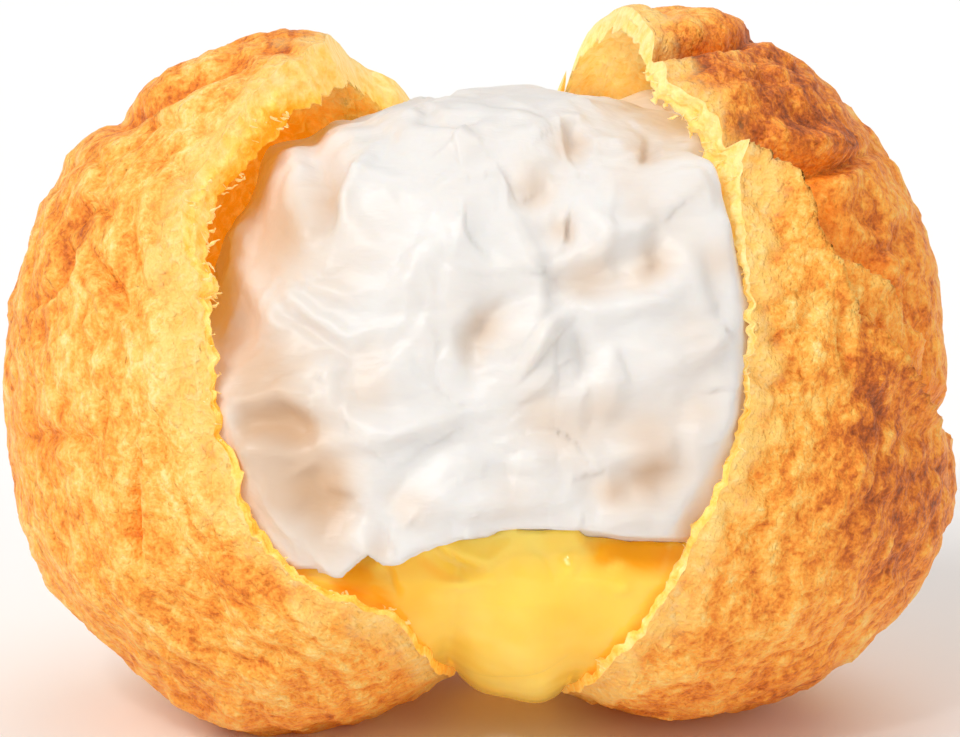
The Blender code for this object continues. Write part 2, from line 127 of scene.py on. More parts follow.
BODY_OUTLINE = (
    (3, 385), (8, 330), (22, 248), (42, 200), (78, 138), (116, 122), (150, 84), (200, 55), (268, 28), (305, 28),
    (350, 40), (420, 56), (490, 60), (560, 42), (600, 16), (625, 3), (650, 2), (700, 7), (742, 22), (757, 36),
    (780, 47), (812, 70), (850, 106), (885, 152), (912, 202), (938, 255), (952, 330), (958, 380), (944, 425),
    (954, 455), (954, 500), (945, 542), (918, 592), (880, 638), (830, 675), (780, 699), (735, 713), (675, 722),
    (635, 716), (600, 704), (565, 691), (505, 681), (445, 673), (418, 696), (385, 711), (340, 727), (270, 736),
    (215, 726), (165, 700), (125, 668), (80, 627), (52, 590), (28, 540), (14, 485), (6, 432),
)

# The torn edge: across, down, and whether it is on the far side of the outline.
RIM_FRONT = -1
RIM_BACK = 1
OPENING_RISE = math.radians(8.0)
RIM_PATH = (
    (505, 652, RIM_BACK), (462, 662, RIM_BACK), (444, 674, RIM_FRONT), (428, 656, RIM_FRONT),
    (412, 638, RIM_FRONT), (400, 624, RIM_FRONT), (386, 614, RIM_FRONT), (352, 602, RIM_FRONT),
    (328, 590, RIM_FRONT), (298, 566, RIM_FRONT), (278, 544, RIM_FRONT), (256, 516, RIM_FRONT),
    (238, 484, RIM_FRONT), (224, 450, RIM_FRONT), (214, 424, RIM_FRONT), (208, 390, RIM_FRONT),
    (205, 350, RIM_FRONT), (203, 310, RIM_FRONT), (196, 284, RIM_FRONT), (186, 255, RIM_FRONT),
    (180, 226, RIM_FRONT), (186, 200, RIM_FRONT), (202, 168, RIM_FRONT), (224, 142, RIM_FRONT),
    (244, 113, RIM_FRONT), (264, 88, RIM_FRONT), (294, 60, RIM_FRONT), (326, 43, RIM_FRONT),
    (346, 50, RIM_BACK), (366, 64, RIM_BACK), (392, 74, RIM_BACK), (412, 98, RIM_BACK),
    (450, 128, RIM_BACK), (500, 138, RIM_BACK), (545, 122, RIM_BACK), (565, 92, RIM_BACK),
    (567, 68, RIM_BACK), (580, 46, RIM_BACK), (590, 28, RIM_BACK), (606, 14, RIM_BACK),
    (630, 8, RIM_FRONT), (650, 28, RIM_FRONT), (657, 58, RIM_FRONT), (664, 84, RIM_FRONT),
    (690, 108, RIM_FRONT), (716, 127, RIM_FRONT), (734, 152, RIM_FRONT), (741, 184, RIM_FRONT),
    (744, 216, RIM_FRONT), (747, 250, RIM_FRONT), (750, 300, RIM_FRONT), (751, 350, RIM_FRONT),
    (748, 395, RIM_FRONT), (741, 432, RIM_FRONT), (728, 466, RIM_FRONT), (711, 496, RIM_FRONT),
    (693, 524, RIM_FRONT), (683, 552, RIM_FRONT), (673, 580, RIM_FRONT), (659, 604, RIM_FRONT),
    (645, 624, RIM_FRONT), (614, 652, RIM_FRONT), (603, 668, RIM_FRONT), (584, 685, RIM_FRONT),
    (566, 693, RIM_FRONT), (546, 668, RIM_BACK),
)
RIM_RAGGEDNESS = ((0.030, 17.0), (0.014, 47.0), (0.012, 110.0), (0.011, 270.0))
RIM_CALM = (0.25, 1.35)

# Strands of crumb, as (first turn and last turn in degrees, how many, length, radius).
SHREDS = (
    (274, 300, 34, 1.5 * MM, 0.34 * MM), (300, 322, 20, 1.2 * MM, 0.34 * MM), (32, 62, 40, 1.2 * MM, 0.36 * MM),
    (62, 120, 34, 0.7 * MM, 0.26 * MM), (120, 180, 30, 0.6 * MM, 0.24 * MM), (190, 272, 44, 0.7 * MM, 0.26 * MM),
    (284, 294, 5, 3.4 * MM, 0.34 * MM),
)
SHRED_SEED = 7
SHRED_TONE = 0.12

CREAM_OUTLINE = (
    (60, 440), (100, 390), (150, 356), (188, 334), (206, 314), (222, 262), (246, 200), (266, 156), (288, 136),
    (302, 147), (312, 137), (330, 121), (370, 117), (405, 101), (440, 95), (490, 90), (540, 88), (570, 92),
    (600, 99), (640, 108), (690, 118), (760, 120), (860, 170), (920, 300), (930, 420), (900, 560), (780, 660),
    (480, 690), (200, 660), (60, 520),
)
CREAM_HALF_DEPTH = 37.6 * MM
CREAM_ROUNDNESS = 2.9

# The line along which the cream's lip ends over the custard.
LIP_LINE = (
    (200, 560), (300, 580), (342, 576), (356, 560), (370, 546), (384, 556), (400, 556), (420, 545), (440, 537),
    (465, 530), (488, 527), (500, 522), (516, 521), (530, 521), (580, 522), (620, 528), (650, 531), (675, 533),
    (740, 520), (860, 500),
)
LIP_DEPTH = -33.0 * MM
LIP_THICKNESS = 6.0 * MM
LAYER_DOWN = 545.0
LAYER_FALL = 0.12

CUSTARD_MIDDLE = (512, 602, -12.0 * MM)
CUSTARD_AIM = math.radians(-48.0)
CUSTARD_CROWDING = 1.2
CUSTARD_SWELL = (
    (420, 0.90), (530, 0.90), (550, 0.913), (575, 0.95), (600, 0.983), (640, 1.008), (670, 1.03), (690, 1.045),
    (710, 1.055), (760, 1.055),
)
# How much of the custard's swell is left across the tongue that runs down between the lobes.
TONGUE_MIDDLE = 510.0
TONGUE_HALF_WIDTH = 58.0
TONGUE_SQUARENESS = 4.0
TONGUE_START = 0.955
CUSTARD_UNDERSIDE = 0.93
UNDERSIDE_DEPTHS = (-0.15, 0.30)

# Folds as (sheet points, width in steps, height, kind).
RIDGE = "ridge"
STEP = "step"
CRUST_FOLDS = (
    (((116, 124), (150, 106), (180, 88), (206, 74), (240, 60)), 8, -2.6 * MM, RIDGE),
    (((120, 112), (150, 92), (182, 72), (214, 56)), 9, 0.9 * MM, RIDGE),
    (((150, 122), (182, 108), (214, 96), (250, 88)), 11, 0.9 * MM, RIDGE),
    (((124, 130), (160, 122), (214, 128)), 6, -1.0 * MM, RIDGE),
    (((250, 44), (286, 48), (318, 66)), 6, -0.9 * MM, RIDGE),
    (((150, 150), (178, 166), (196, 196)), 6, -0.7 * MM, RIDGE),
    (((66, 228), (78, 212), (92, 202), (108, 211)), 6, -1.6 * MM, RIDGE),
    (((72, 214), (88, 194), (106, 196)), 8, 0.7 * MM, RIDGE),
    (((60, 240), (66, 256), (66, 272), (50, 290), (36, 302)), 6, -1.7 * MM, RIDGE),
    (((74, 262), (74, 282), (60, 304)), 9, 0.8 * MM, RIDGE),
    (((92, 262), (106, 274), (118, 292), (128, 314)), 6, -1.4 * MM, RIDGE),
    (((86, 276), (102, 292), (112, 316)), 9, 0.8 * MM, RIDGE),
    (((42, 312), (36, 330), (36, 348)), 5, -0.9 * MM, RIDGE),
    (((88, 148), (98, 168), (102, 192)), 5, -0.9 * MM, RIDGE),
    (((50, 190), (60, 170), (84, 156)), 6, -0.7 * MM, RIDGE),
    (((128, 220), (140, 262), (134, 310)), 9, -0.6 * MM, RIDGE),
    (((10, 436), (50, 438), (92, 442)), 7, -0.8 * MM, RIDGE),
    (((100, 396), (103, 420), (99, 444)), 5, -0.9 * MM, RIDGE),
    (((141, 452), (136, 490), (136, 526), (143, 564)), 6, -2.0 * MM, RIDGE),
    (((152, 448), (148, 490), (150, 540)), 9, 0.7 * MM, RIDGE),
    (((120, 470), (122, 510), (120, 550)), 9, 0.5 * MM, RIDGE),
    (((196, 560), (206, 596), (232, 622)), 7, -0.8 * MM, RIDGE),
    (((268, 600), (290, 626), (330, 648)), 8, -0.8 * MM, RIDGE),
    (((300, 592), (316, 616), (330, 640)), 5, 0.5 * MM, RIDGE),
    (((150, 570), (180, 620), (250, 655), (330, 660)), 14, -0.6 * MM, RIDGE),
    (((170, 240), (150, 300), (170, 350), (160, 420)), 22, 0.9 * MM, RIDGE),
    (((180, 470), (230, 570), (320, 630)), 26, 0.9 * MM, RIDGE),
    (((30, 500), (70, 560), (130, 600)), 22, 0.8 * MM, RIDGE),
    (((654, 54), (668, 48), (712, 45), (758, 37)), 7, -2.8 * MM, RIDGE),
    (((662, 26), (700, 20), (745, 20)), 16, 1.0 * MM, RIDGE),
    (((668, 62), (712, 56), (756, 50)), 9, 0.8 * MM, RIDGE),
    (((690, 16), (714, 30), (726, 42)), 5, -0.7 * MM, RIDGE),
    (((758, 146), (797, 163), (845, 163), (872, 150)), 7, -2.8 * MM, RIDGE),
    (((768, 128), (806, 144), (850, 146)), 12, 1.3 * MM, RIDGE),
    (((700, 108), (750, 84), (800, 96), (846, 140)), 30, 1.3 * MM, RIDGE),
    (((722, 90), (748, 80), (772, 84), (796, 84)), 5, -1.0 * MM, RIDGE),
    (((756, 62), (764, 78), (760, 96)), 5, -0.8 * MM, RIDGE),
    (((786, 96), (800, 118), (822, 128)), 5, -0.8 * MM, RIDGE),
    (((842, 300), (834, 284), (822, 262), (809, 242), (796, 218), (785, 194), (776, 176), (760, 162), (738, 148), (712, 132)), 6, -7.6 * MM, STEP),
    (((790, 156), (822, 188), (846, 226), (866, 252)), 13, -2.6 * MM, RIDGE),
    (((935, 354), (920, 330), (900, 302), (880, 279), (858, 262), (842, 252)), 6, -3.6 * MM, STEP),
    (((874, 238), (890, 262), (906, 296), (912, 326)), 8, -2.4 * MM, RIDGE),
    (((860, 200), (876, 214), (894, 228)), 6, -0.9 * MM, RIDGE),
    (((945, 430), (935, 416), (920, 396), (900, 366), (885, 345), (870, 325), (856, 311)), 6, -4.6 * MM, STEP),
    (((834, 316), (835, 344), (840, 376)), 5, -1.4 * MM, RIDGE),
    (((905, 226), (926, 290), (938, 350), (941, 420)), 7, -2.2 * MM, RIDGE),
    (((815, 330), (850, 400), (850, 470), (800, 560)), 30, 0.8 * MM, RIDGE),
    (((742, 352), (752, 372), (772, 388), (790, 384)), 6, -0.9 * MM, RIDGE),
    (((738, 168), (752, 200), (772, 222), (784, 250)), 6, -0.8 * MM, RIDGE),
    (((744, 276), (766, 310), (780, 350)), 7, -0.6 * MM, RIDGE),
    (((748, 470), (760, 492), (782, 500)), 6, -0.7 * MM, RIDGE),
    (((720, 500), (750, 530), (800, 540)), 12, -0.5 * MM, RIDGE),
    (((944, 425), (900, 440), (860, 470)), 8, -0.8 * MM, RIDGE),
    (((700, 640), (770, 620), (850, 560)), 26, 0.8 * MM, RIDGE),
)

CREAM_FOLDS = (
    (((300, 372), (324, 361), (340, 366), (345, 386), (358, 406), (392, 414), (450, 408)), 8, 2.2 * MM, STEP),
    (((450, 408), (462, 422), (478, 428), (500, 416)), 7, 1.0 * MM, STEP),
    (((400, 520), (412, 488), (436, 465), (470, 453), (510, 450)), 10, 2.3 * MM, STEP),
    (((512, 200), (534, 236), (546, 282), (548, 334)), 9, 2.2 * MM, STEP),
    (((660, 226), (640, 240), (594, 256), (552, 264)), 10, 2.4 * MM, STEP),
    (((694, 390), (620, 392), (560, 400), (500, 412), (466, 428)), 12, 1.9 * MM, STEP),
    (((566, 162), (534, 176), (498, 180)), 10, 1.5 * MM, STEP),
    (((708, 222), (648, 200), (598, 186)), 11, 1.4 * MM, STEP),
    (((460, 268), (400, 258), (346, 270)), 12, 1.2 * MM, STEP),
    (((452, 308), (400, 300), (346, 312)), 8, 0.9 * MM, STEP),
    (((454, 342), (400, 334), (336, 344)), 9, 0.8 * MM, STEP),
    (((696, 446), (652, 456), (608, 466)), 10, 1.8 * MM, STEP),
    (((386, 528), (364, 502), (354, 470), (352, 438)), 10, 1.8 * MM, STEP),
    (((600, 498), (600, 480), (586, 462), (556, 454)), 9, 1.4 * MM, STEP),
    (((704, 326), (650, 316), (604, 328), (572, 352)), 12, 1.2 * MM, STEP),
    (((620, 118), (590, 116), (558, 132)), 9, 1.0 * MM, STEP),
    (((240, 258), (262, 300), (296, 330)), 14, 0.9 * MM, RIDGE),
    (((318, 158), (322, 190), (330, 224)), 17, -2.4 * MM, RIDGE),
    (((374, 150), (354, 190), (336, 228)), 11, 1.0 * MM, RIDGE),
    (((302, 148), (300, 190), (296, 240)), 11, 0.9 * MM, RIDGE),
    (((286, 292), (318, 318), (352, 338)), 7, 0.8 * MM, RIDGE),
    (((280, 304), (308, 330), (340, 348)), 7, -0.6 * MM, RIDGE),
    (((300, 274), (328, 292), (356, 302)), 7, 0.7 * MM, RIDGE),
    (((420, 190), (450, 230), (448, 290)), 34, 1.5 * MM, RIDGE),
    (((508, 303), (484, 318), (469, 342), (474, 368)), 15, -2.6 * MM, RIDGE),
    (((528, 338), (540, 352)), 30, 2.6 * MM, RIDGE),
    (((496, 392), (530, 398), (566, 382)), 11, -0.8 * MM, RIDGE),
    (((574, 322), (580, 350), (570, 382)), 11, -1.0 * MM, RIDGE),
    (((566, 146), (586, 140)), 19, -2.2 * MM, RIDGE),
    (((640, 152), (660, 156)), 18, -1.8 * MM, RIDGE),
    (((500, 192), (530, 190), (552, 182)), 16, -1.2 * MM, RIDGE),
    (((564, 226), (574, 230)), 17, -1.8 * MM, RIDGE),
    (((588, 208), (602, 226), (598, 246)), 11, 0.8 * MM, RIDGE),
    (((556, 292), (600, 278), (636, 276)), 18, -1.2 * MM, RIDGE),
    (((654, 240), (664, 262), (650, 288)), 13, -1.5 * MM, RIDGE),
    (((600, 304), (640, 302), (680, 288)), 14, 1.0 * MM, RIDGE),
    (((610, 210), (640, 218), (690, 236)), 14, -0.8 * MM, RIDGE),
    (((640, 172), (690, 178), (712, 214)), 14, 0.9 * MM, RIDGE),
    (((650, 362), (690, 354), (716, 340)), 13, 0.8 * MM, RIDGE),
    (((700, 250), (716, 290), (716, 330)), 12, -0.7 * MM, RIDGE),
    (((560, 432), (620, 426), (690, 428)), 17, -1.2 * MM, RIDGE),
    (((232, 428), (280, 424), (322, 432)), 20, -2.2 * MM, RIDGE),
    (((232, 402), (280, 394), (330, 408)), 12, 1.0 * MM, RIDGE),
    (((236, 458), (276, 450), (334, 448)), 12, 0.9 * MM, RIDGE),
    (((306, 468), (322, 492), (346, 514)), 24, -2.2 * MM, RIDGE),
    (((262, 480), (278, 512), (306, 540)), 14, 0.8 * MM, RIDGE),
    (((358, 436), (400, 430), (448, 420)), 13, 1.2 * MM, RIDGE),
    (((640, 488), (668, 476), (690, 470)), 14, -1.3 * MM, RIDGE),
    (((484, 466), (506, 466), (520, 472)), 12, -0.8 * MM, RIDGE),
    (((418, 524), (450, 500), (500, 492), (548, 498)), 18, 1.2 * MM, RIDGE),
    (((600, 520), (650, 512), (690, 506)), 15, 1.0 * MM, RIDGE),
    (((344, 530), (362, 532), (380, 552), (404, 550), (440, 532)), 11, 1.3 * MM, RIDGE),
    (((322, 546), (334, 560), (342, 574)), 12, 0.9 * MM, RIDGE),
    (((410, 110), (440, 120), (476, 134)), 9, -0.9 * MM, RIDGE),
    (((340, 128), (390, 126), (440, 134), (480, 148)), 12, 0.9 * MM, RIDGE),
)

CUSTARD_FOLDS = (
    (((350, 566), (358, 584)), 15, -3.0 * MM, RIDGE),
    (((376, 580), (392, 606)), 9, -1.2 * MM, RIDGE),
    (((622, 545), (664, 550)), 15, -2.4 * MM, RIDGE),
    (((592, 548), (612, 556)), 12, -1.2 * MM, RIDGE),
    (((500, 545), (520, 600), (524, 660)), 46, 1.2 * MM, RIDGE),
    (((508, 526), (516, 538)), 14, 1.2 * MM, RIDGE),
    (((424, 543), (446, 560), (486, 566), (512, 554)), 6, 0.9 * MM, RIDGE),
    (((420, 556), (444, 574), (480, 580)), 6, -0.5 * MM, RIDGE),
    (((436, 592), (460, 586), (490, 580)), 5, 0.7 * MM, RIDGE),
    (((556, 548), (572, 546), (590, 552)), 6, 0.6 * MM, RIDGE),
    (((566, 578), (580, 572)), 6, 0.6 * MM, RIDGE),
    (((604, 566), (622, 560)), 6, 0.7 * MM, RIDGE),
    (((618, 598), (634, 590)), 6, 0.6 * MM, RIDGE),
    (((530, 556), (548, 570), (560, 590)), 10, -0.5 * MM, RIDGE),
)

# Coloured places as (across, down, radius in steps, strength). The browning is the crust's own baking together with
# painted shade on the right lobe's right-facing side.
BROWNING_AND_SHADE = (
    (735, 95, 58, 0.46), (800, 108, 48, 0.46), (850, 138, 34, 0.46), (820, 132, 26, 0.30), (690, 72, 30, 0.30),
    (770, 115, 26, 0.26), (700, 52, 22, 0.30), (752, 36, 20, 0.34), (780, 64, 40, 0.34), (715, 12, 40, 0.22),
    (872, 180, 30, 0.28), (740, 150, 22, 0.20), (905, 250, 18, 0.34), (905, 225, 40, 0.20), (930, 300, 24, 0.20),
    (855, 325, 14, 0.40), (862, 350, 28, 0.34), (862, 385, 26, 0.34), (850, 430, 22, 0.30), (885, 410, 40, 0.20),
    (770, 205, 16, 0.22), (758, 225, 20, 0.22), (755, 365, 22, 0.22), (772, 385, 20, 0.24), (790, 470, 24, 0.22),
    (750, 465, 18, 0.20), (800, 300, 24, 0.10), (915, 370, 30, 0.20), (905, 480, 60, 0.20), (850, 560, 60, 0.20),
    (790, 640, 70, 0.20), (900, 560, 60, 0.22), (940, 500, 50, 0.24), (700, 690, 60, 0.24), (600, 688, 50, 0.24),
    (870, 400, 50, 0.26), (856, 470, 60, 0.22), (880, 540, 60, 0.16), (840, 360, 30, 0.16),
    (780, 690, 60, 0.20), (106, 150, 40, 0.24), (92, 215, 20, 0.34), (68, 226, 18, 0.36), (72, 200, 42, 0.24),
    (58, 262, 30, 0.30), (34, 300, 30, 0.30), (40, 330, 22, 0.24), (240, 44, 34, 0.26), (276, 40, 14, 0.40),
    (180, 96, 30, 0.12), (160, 78, 20, 0.24), (290, 30, 26, 0.24), (192, 395, 12, 0.40), (204, 414, 8, 0.44),
    (190, 452, 9, 0.22), (30, 430, 40, 0.22), (18, 350, 30, 0.20), (60, 520, 50, 0.14), (120, 640, 50, 0.16),
    (230, 712, 60, 0.22), (330, 712, 50, 0.20), (120, 350, 20, 0.12), (330, 714, 5, 0.6), (280, 585, 18, 0.24),
    (240, 600, 16, 0.22), (390, 690, 40, 0.16), (222, 142, 10, 0.26), (96, 265, 18, 0.22), (110, 285, 14, 0.24),
)
# Painted glow: crevices and recesses turn orange and give off light, standing in for light through the thin crust.
GLOWING = (
    (826, 180, 13, 0.6), (842, 206, 13, 0.6), (860, 234, 12, 0.6), (884, 262, 12, 0.7), (906, 296, 13, 0.7),
    (800, 160, 16, 0.7), (834, 160, 12, 0.5), (930, 350, 12, 0.8), (944, 385, 12, 0.8),
    (870, 252, 9, 0.3), (140, 500, 8, 0.7), (138, 535, 9, 0.9), (143, 560, 8, 0.6), (778, 168, 14, 0.5),
    (700, 118, 14, 0.3), (730, 30, 12, 0.5), (718, 38, 14, 0.5), (935, 380, 14, 0.7), (925, 340, 12, 0.4),
    (200, 76, 12, 0.5), (230, 62, 14, 0.5), (175, 90, 10, 0.4), (128, 330, 16, 0.4), (100, 545, 24, 0.3),
    (50, 440, 40, 0.3), (150, 520, 50, 0.15), (700, 560, 40, 0.2), (240, 605, 26, 0.3), (800, 262, 16, 0.4),
)
# Paler crust, with painted highlights along the edges of the right lobe's flaps.
PALE_AND_HIGHLIGHT = (
    (70, 230, 60, 0.34), (50, 330, 55, 0.28), (95, 175, 45, 0.30), (40, 420, 50, 0.26), (60, 520, 50, 0.20),
    (160, 360, 34, 0.5), (150, 420, 40, 0.45), (170, 480, 34, 0.4), (190, 540, 30, 0.35), (210, 110, 34, 0.5),
    (190, 140, 30, 0.4), (250, 85, 30, 0.4), (86, 270, 18, 0.5), (80, 290, 22, 0.35), (110, 150, 12, 0.3),
    (140, 330, 30, 0.35), (300, 610, 24, 0.45), (330, 650, 30, 0.35), (260, 690, 40, 0.25), (745, 440, 22, 0.5),
    (765, 450, 16, 0.4), (600, 650, 34, 0.35), (690, 560, 30, 0.3), (640, 680, 34, 0.25), (700, 520, 22, 0.35),
    (820, 255, 12, 0.4), (845, 290, 12, 0.4), (880, 330, 18, 0.3), (905, 350, 16, 0.3), (730, 140, 14, 0.4),
    (760, 165, 14, 0.3), (800, 410, 18, 0.25), (760, 300, 16, 0.25), (870, 145, 10, 0.3), (230, 500, 20, 0.3),
)

# Warm shadow in the cream, and how it glows near the crust, as (across, down, radius in steps, strength).
WARMTH = (
    (280, 200, 36, 0.26), (300, 230, 44, 0.26), (276, 270, 36, 0.16), (280, 350, 46, 0.34), (300, 480, 46, 0.30),
    (350, 400, 40, 0.20), (340, 460, 34, 0.22), (700, 250, 30, 0.14), (700, 380, 34, 0.16), (680, 480, 30, 0.2),
    (236, 300, 30, 0.10), (252, 360, 40, 0.48), (262, 400, 40, 0.72), (286, 430, 32, 0.95), (250, 440, 26, 0.7),
    (280, 480, 46, 0.85), (322, 490, 30, 0.75), (330, 540, 30, 0.6), (330, 190, 20, 0.55), (296, 230, 30, 0.35),
    (276, 250, 34, 0.35), (372, 240, 34, 0.18), (340, 285, 26, 0.28), (570, 142, 16, 0.62), (648, 154, 18, 0.50),
    (535, 180, 22, 0.36), (562, 228, 14, 0.50), (590, 272, 26, 0.46), (655, 262, 18, 0.62), (640, 282, 16, 0.4),
    (492, 330, 20, 0.40), (540, 412, 26, 0.40), (600, 404, 20, 0.34), (650, 440, 30, 0.52), (610, 490, 16, 0.7),
    (640, 486, 24, 0.52), (660, 470, 22, 0.40), (570, 440, 30, 0.3), (420, 500, 20, 0.40), (510, 490, 24, 0.2),
    (640, 200, 24, 0.30), (690, 195, 16, 0.22), (720, 260, 16, 0.36), (690, 330, 24, 0.2), (700, 410, 18, 0.3),
    (370, 352, 20, 0.2), (375, 385, 20, 0.3), (400, 500, 14, 0.3), (384, 545, 14, 0.45), (620, 180, 16, 0.2),
)

# The tables below are (across, down, radius in steps, strength).
# Where light comes through the thin crumb of the crests.
BACKLIT = ((600, 62, 26, 1.0), (626, 84, 20, 0.8), (380, 92, 18, 0.3))
# Painted shade in the custard: a deeper orange in the pockets beside the tongue and under the cream's lip.
CUSTARD_SHADE = (
    (400, 566, 20, 0.40), (440, 550, 24, 0.34), (490, 540, 26, 0.30), (545, 538, 26, 0.26), (600, 542, 26, 0.40),
    (645, 552, 24, 0.50), (360, 580, 20, 0.40), (418, 600, 16, 0.30), (515, 700, 26, 0.26), (590, 600, 14, 0.16),
)
# Painted shade and painted glow in the gap beside the cream, where the crumb turns a deep gold.
GAP_SHADE_AND_GLOW = (
    (272, 128, 22, 0.9), (256, 152, 20, 1.0), (240, 176, 18, 1.0), (228, 200, 14, 1.0), (218, 232, 12, 0.9),
    (212, 270, 12, 0.7), (290, 118, 20, 0.8), (318, 118, 18, 0.9), (345, 112, 18, 0.6), (300, 138, 14, 0.9),
    (196, 215, 12, 0.5), (190, 240, 12, 0.5), (375, 104, 16, 0.3), (605, 66, 30, -0.15), (286, 60, 16, 0.3), (330, 70, 16, 0.3),
    (222, 130, 12, 0.4), (208, 160, 12, 0.3), (360, 80, 14, 0.3), (200, 300, 10, 0.4), (206, 340, 10, 0.4),
)

KEY = (-50.0, 42.0, 1.38, 30.0, (1.0, 0.985, 0.955))
GLINT = (-20.0, 40.0, 0.36, 5.0, (1.0, 0.99, 0.97))
TOP = (140.0, 62.0, 0.70, 50.0, (1.0, 0.99, 0.98))
FRONT = (35.0, 18.0, 0.29, 60.0, (1.0, 0.95, 0.86))
SKY = 0.53
BROWNING_AND_SHADE_SHARE = 0.72
CAMERA_DISTANCE = 2.0
SENSOR = 36.0


def smooth(low, high, value):
    """0 under low, 1 over high, and an even rise between them."""
    share = np.clip((value - low) / (high - low), 0.0, 1.0)
    return share * share * (3.0 - 2.0 * share)


def hashed(cells, seed):
    """A fixed number from 0 to 1 for each whole-numbered cell."""
    mixed = cells[:, 0] * 73856093 ^ cells[:, 1] * 19349663 ^ cells[:, 2] * 83492791 ^ seed * 2654435761
    mixed = (mixed ^ (mixed >> 13)) * 1274126177
    mixed = mixed ^ (mixed >> 16)
    return (mixed & 0xFFFF) / 65535.0


def tilted(points, seed):
    """The points turned about a slanted axis, so that the noise's cells don't line up with the puff."""
    turn = Euler((0.7 + seed, 1.1 * seed, 0.4 - 0.6 * seed)).to_matrix()
    return points @ np.array(turn).T


def soft_noise(points, size, seed):
    """Even noise from -1 to 1, with grains of this size."""
    scaled = tilted(points, seed) / size
    cell = np.floor(scaled).astype(np.int64)
    part = scaled - cell
    part = part * part * (3.0 - 2.0 * part)
    total = np.zeros(len(points))
    for corner in range(8):
        step = np.array([corner & 1, corner >> 1 & 1, corner >> 2 & 1])
        weight = np.prod(np.where(step, part, 1.0 - part), axis=1)
        total += weight * hashed(cell + step, seed)
    return 2.0 * total - 1.0


def layered_noise(points, size, seed, layers):
    total = np.zeros(len(points))
    weight = 1.0
    for layer in range(layers):
        total += weight * soft_noise(points, size, seed + layer)
        size *= 0.5
        weight *= 0.5
    return total


def shifted(points, size, reach_out, seed):
    """The points pushed about by noise."""
    push = [soft_noise(points, size, seed + axis) for axis in range(3)]
    return points + reach_out * np.stack(push, axis=1)


def crackle(points, size, seed):
    """Distance to the border between the two nearest of scattered centres, from 0 on a border to about 1."""
    scaled = tilted(points, seed) / size
    first = np.floor(scaled - 0.5).astype(np.int64)
    nearest = np.full(len(points), 9.0)
    second = np.full(len(points), 9.0)
    for index in range(8):
        cell = first + np.array([index & 1, index >> 1 & 1, index >> 2 & 1])
        shift = np.stack([hashed(cell, seed + axis) for axis in range(3)], axis=1)
        distance = np.linalg.norm(scaled - cell - 0.5 - 0.8 * (shift - 0.5), axis=1)
        second = np.minimum(second, np.maximum(nearest, distance))
        nearest = np.minimum(nearest, distance)
    return second - nearest


class Outline:
    """A closed sheet outline, read as a distance from the sheet's middle at any angle."""

    SAMPLES = 1440
    SOFTENING = 7

    def __init__(self, points):
        at = (np.array(points, float) - SHEET_MIDDLE) * (PITCH, -PITCH)
        angle = np.arctan2(at[:, 1], at[:, 0]) % TURN
        order = np.argsort(angle)
        grid = np.arange(self.SAMPLES) * TURN / self.SAMPLES
        table = np.interp(grid, angle[order], np.hypot(at[order, 0], at[order, 1]), period=TURN)
        span = np.arange(-2 * self.SOFTENING, 2 * self.SOFTENING + 1)
        weight = np.exp(-0.5 * (span / self.SOFTENING) ** 2)
        table = sum(w * np.roll(table, shift) for w, shift in zip(weight / weight.sum(), span))
        self.grid = grid
        self.table = table

    def radius(self, angle):
        return np.interp(angle % TURN, self.grid, self.table, period=TURN)


BODY = Outline(BODY_OUTLINE)
CREAM = Outline(CREAM_OUTLINE)


def sheet(points):
    """Where points of the puff's own frame (across, up, away) fall on the sheet."""
    across = points[:, 0] / PITCH + SHEET_MIDDLE[0]
    down = SHEET_MIDDLE[1] - points[:, 1] / PITCH
    return np.stack([across, down], axis=1)


def reach(directions, outline, half_depth, roundness):
    """How far along each direction a rounded body with this outline and depth goes."""
    flat = np.hypot(directions[:, 0], directions[:, 1])
    radius = outline.radius(np.arctan2(directions[:, 1], directions[:, 0]))
    size = (flat / radius) ** roundness + np.abs(directions[:, 2] / half_depth) ** roundness
    return size ** (-1.0 / roundness)


def place_on(line, at):
    """Each point's distance from the line, the side of it, and the share of the line before it."""
    nearest = np.full(len(at), np.inf)
    side = np.zeros(len(at))
    along = np.zeros(len(at))
    last = len(line) - 1
    for i in range(last):
        step = line[i + 1] - line[i]
        away = at - line[i]
        share = np.clip(away @ step / (step @ step), 0.0, 1.0)
        gap = away - share[:, None] * step
        distance = np.hypot(gap[:, 0], gap[:, 1])
        closer = distance < nearest
        nearest = np.where(closer, distance, nearest)
        side = np.where(closer, np.sign(step[0] * away[:, 1] - step[1] * away[:, 0]), side)
        along = np.where(closer, (i + share) / last, along)
    return nearest, side, np.clip(along, 0.0, 1.0)


def rounded(points):
    """The drawn corners joined by a curve through them."""
    ends = np.vstack([2.0 * points[0] - points[1], points, 2.0 * points[-1] - points[-2]])
    shares = np.arange(CURVE_STEPS) / CURVE_STEPS
    made = []
    for a, b, c, d in zip(ends, ends[1:], ends[2:], ends[3:]):
        for s in shares:
            made.append(0.5 * (
                2.0 * b + (c - a) * s + (2.0 * a - 5.0 * b + 4.0 * c - d) * s**2 + (3.0 * b - a - 3.0 * c + d) * s**3
            ))
    made.append(points[-1])
    return np.array(made)


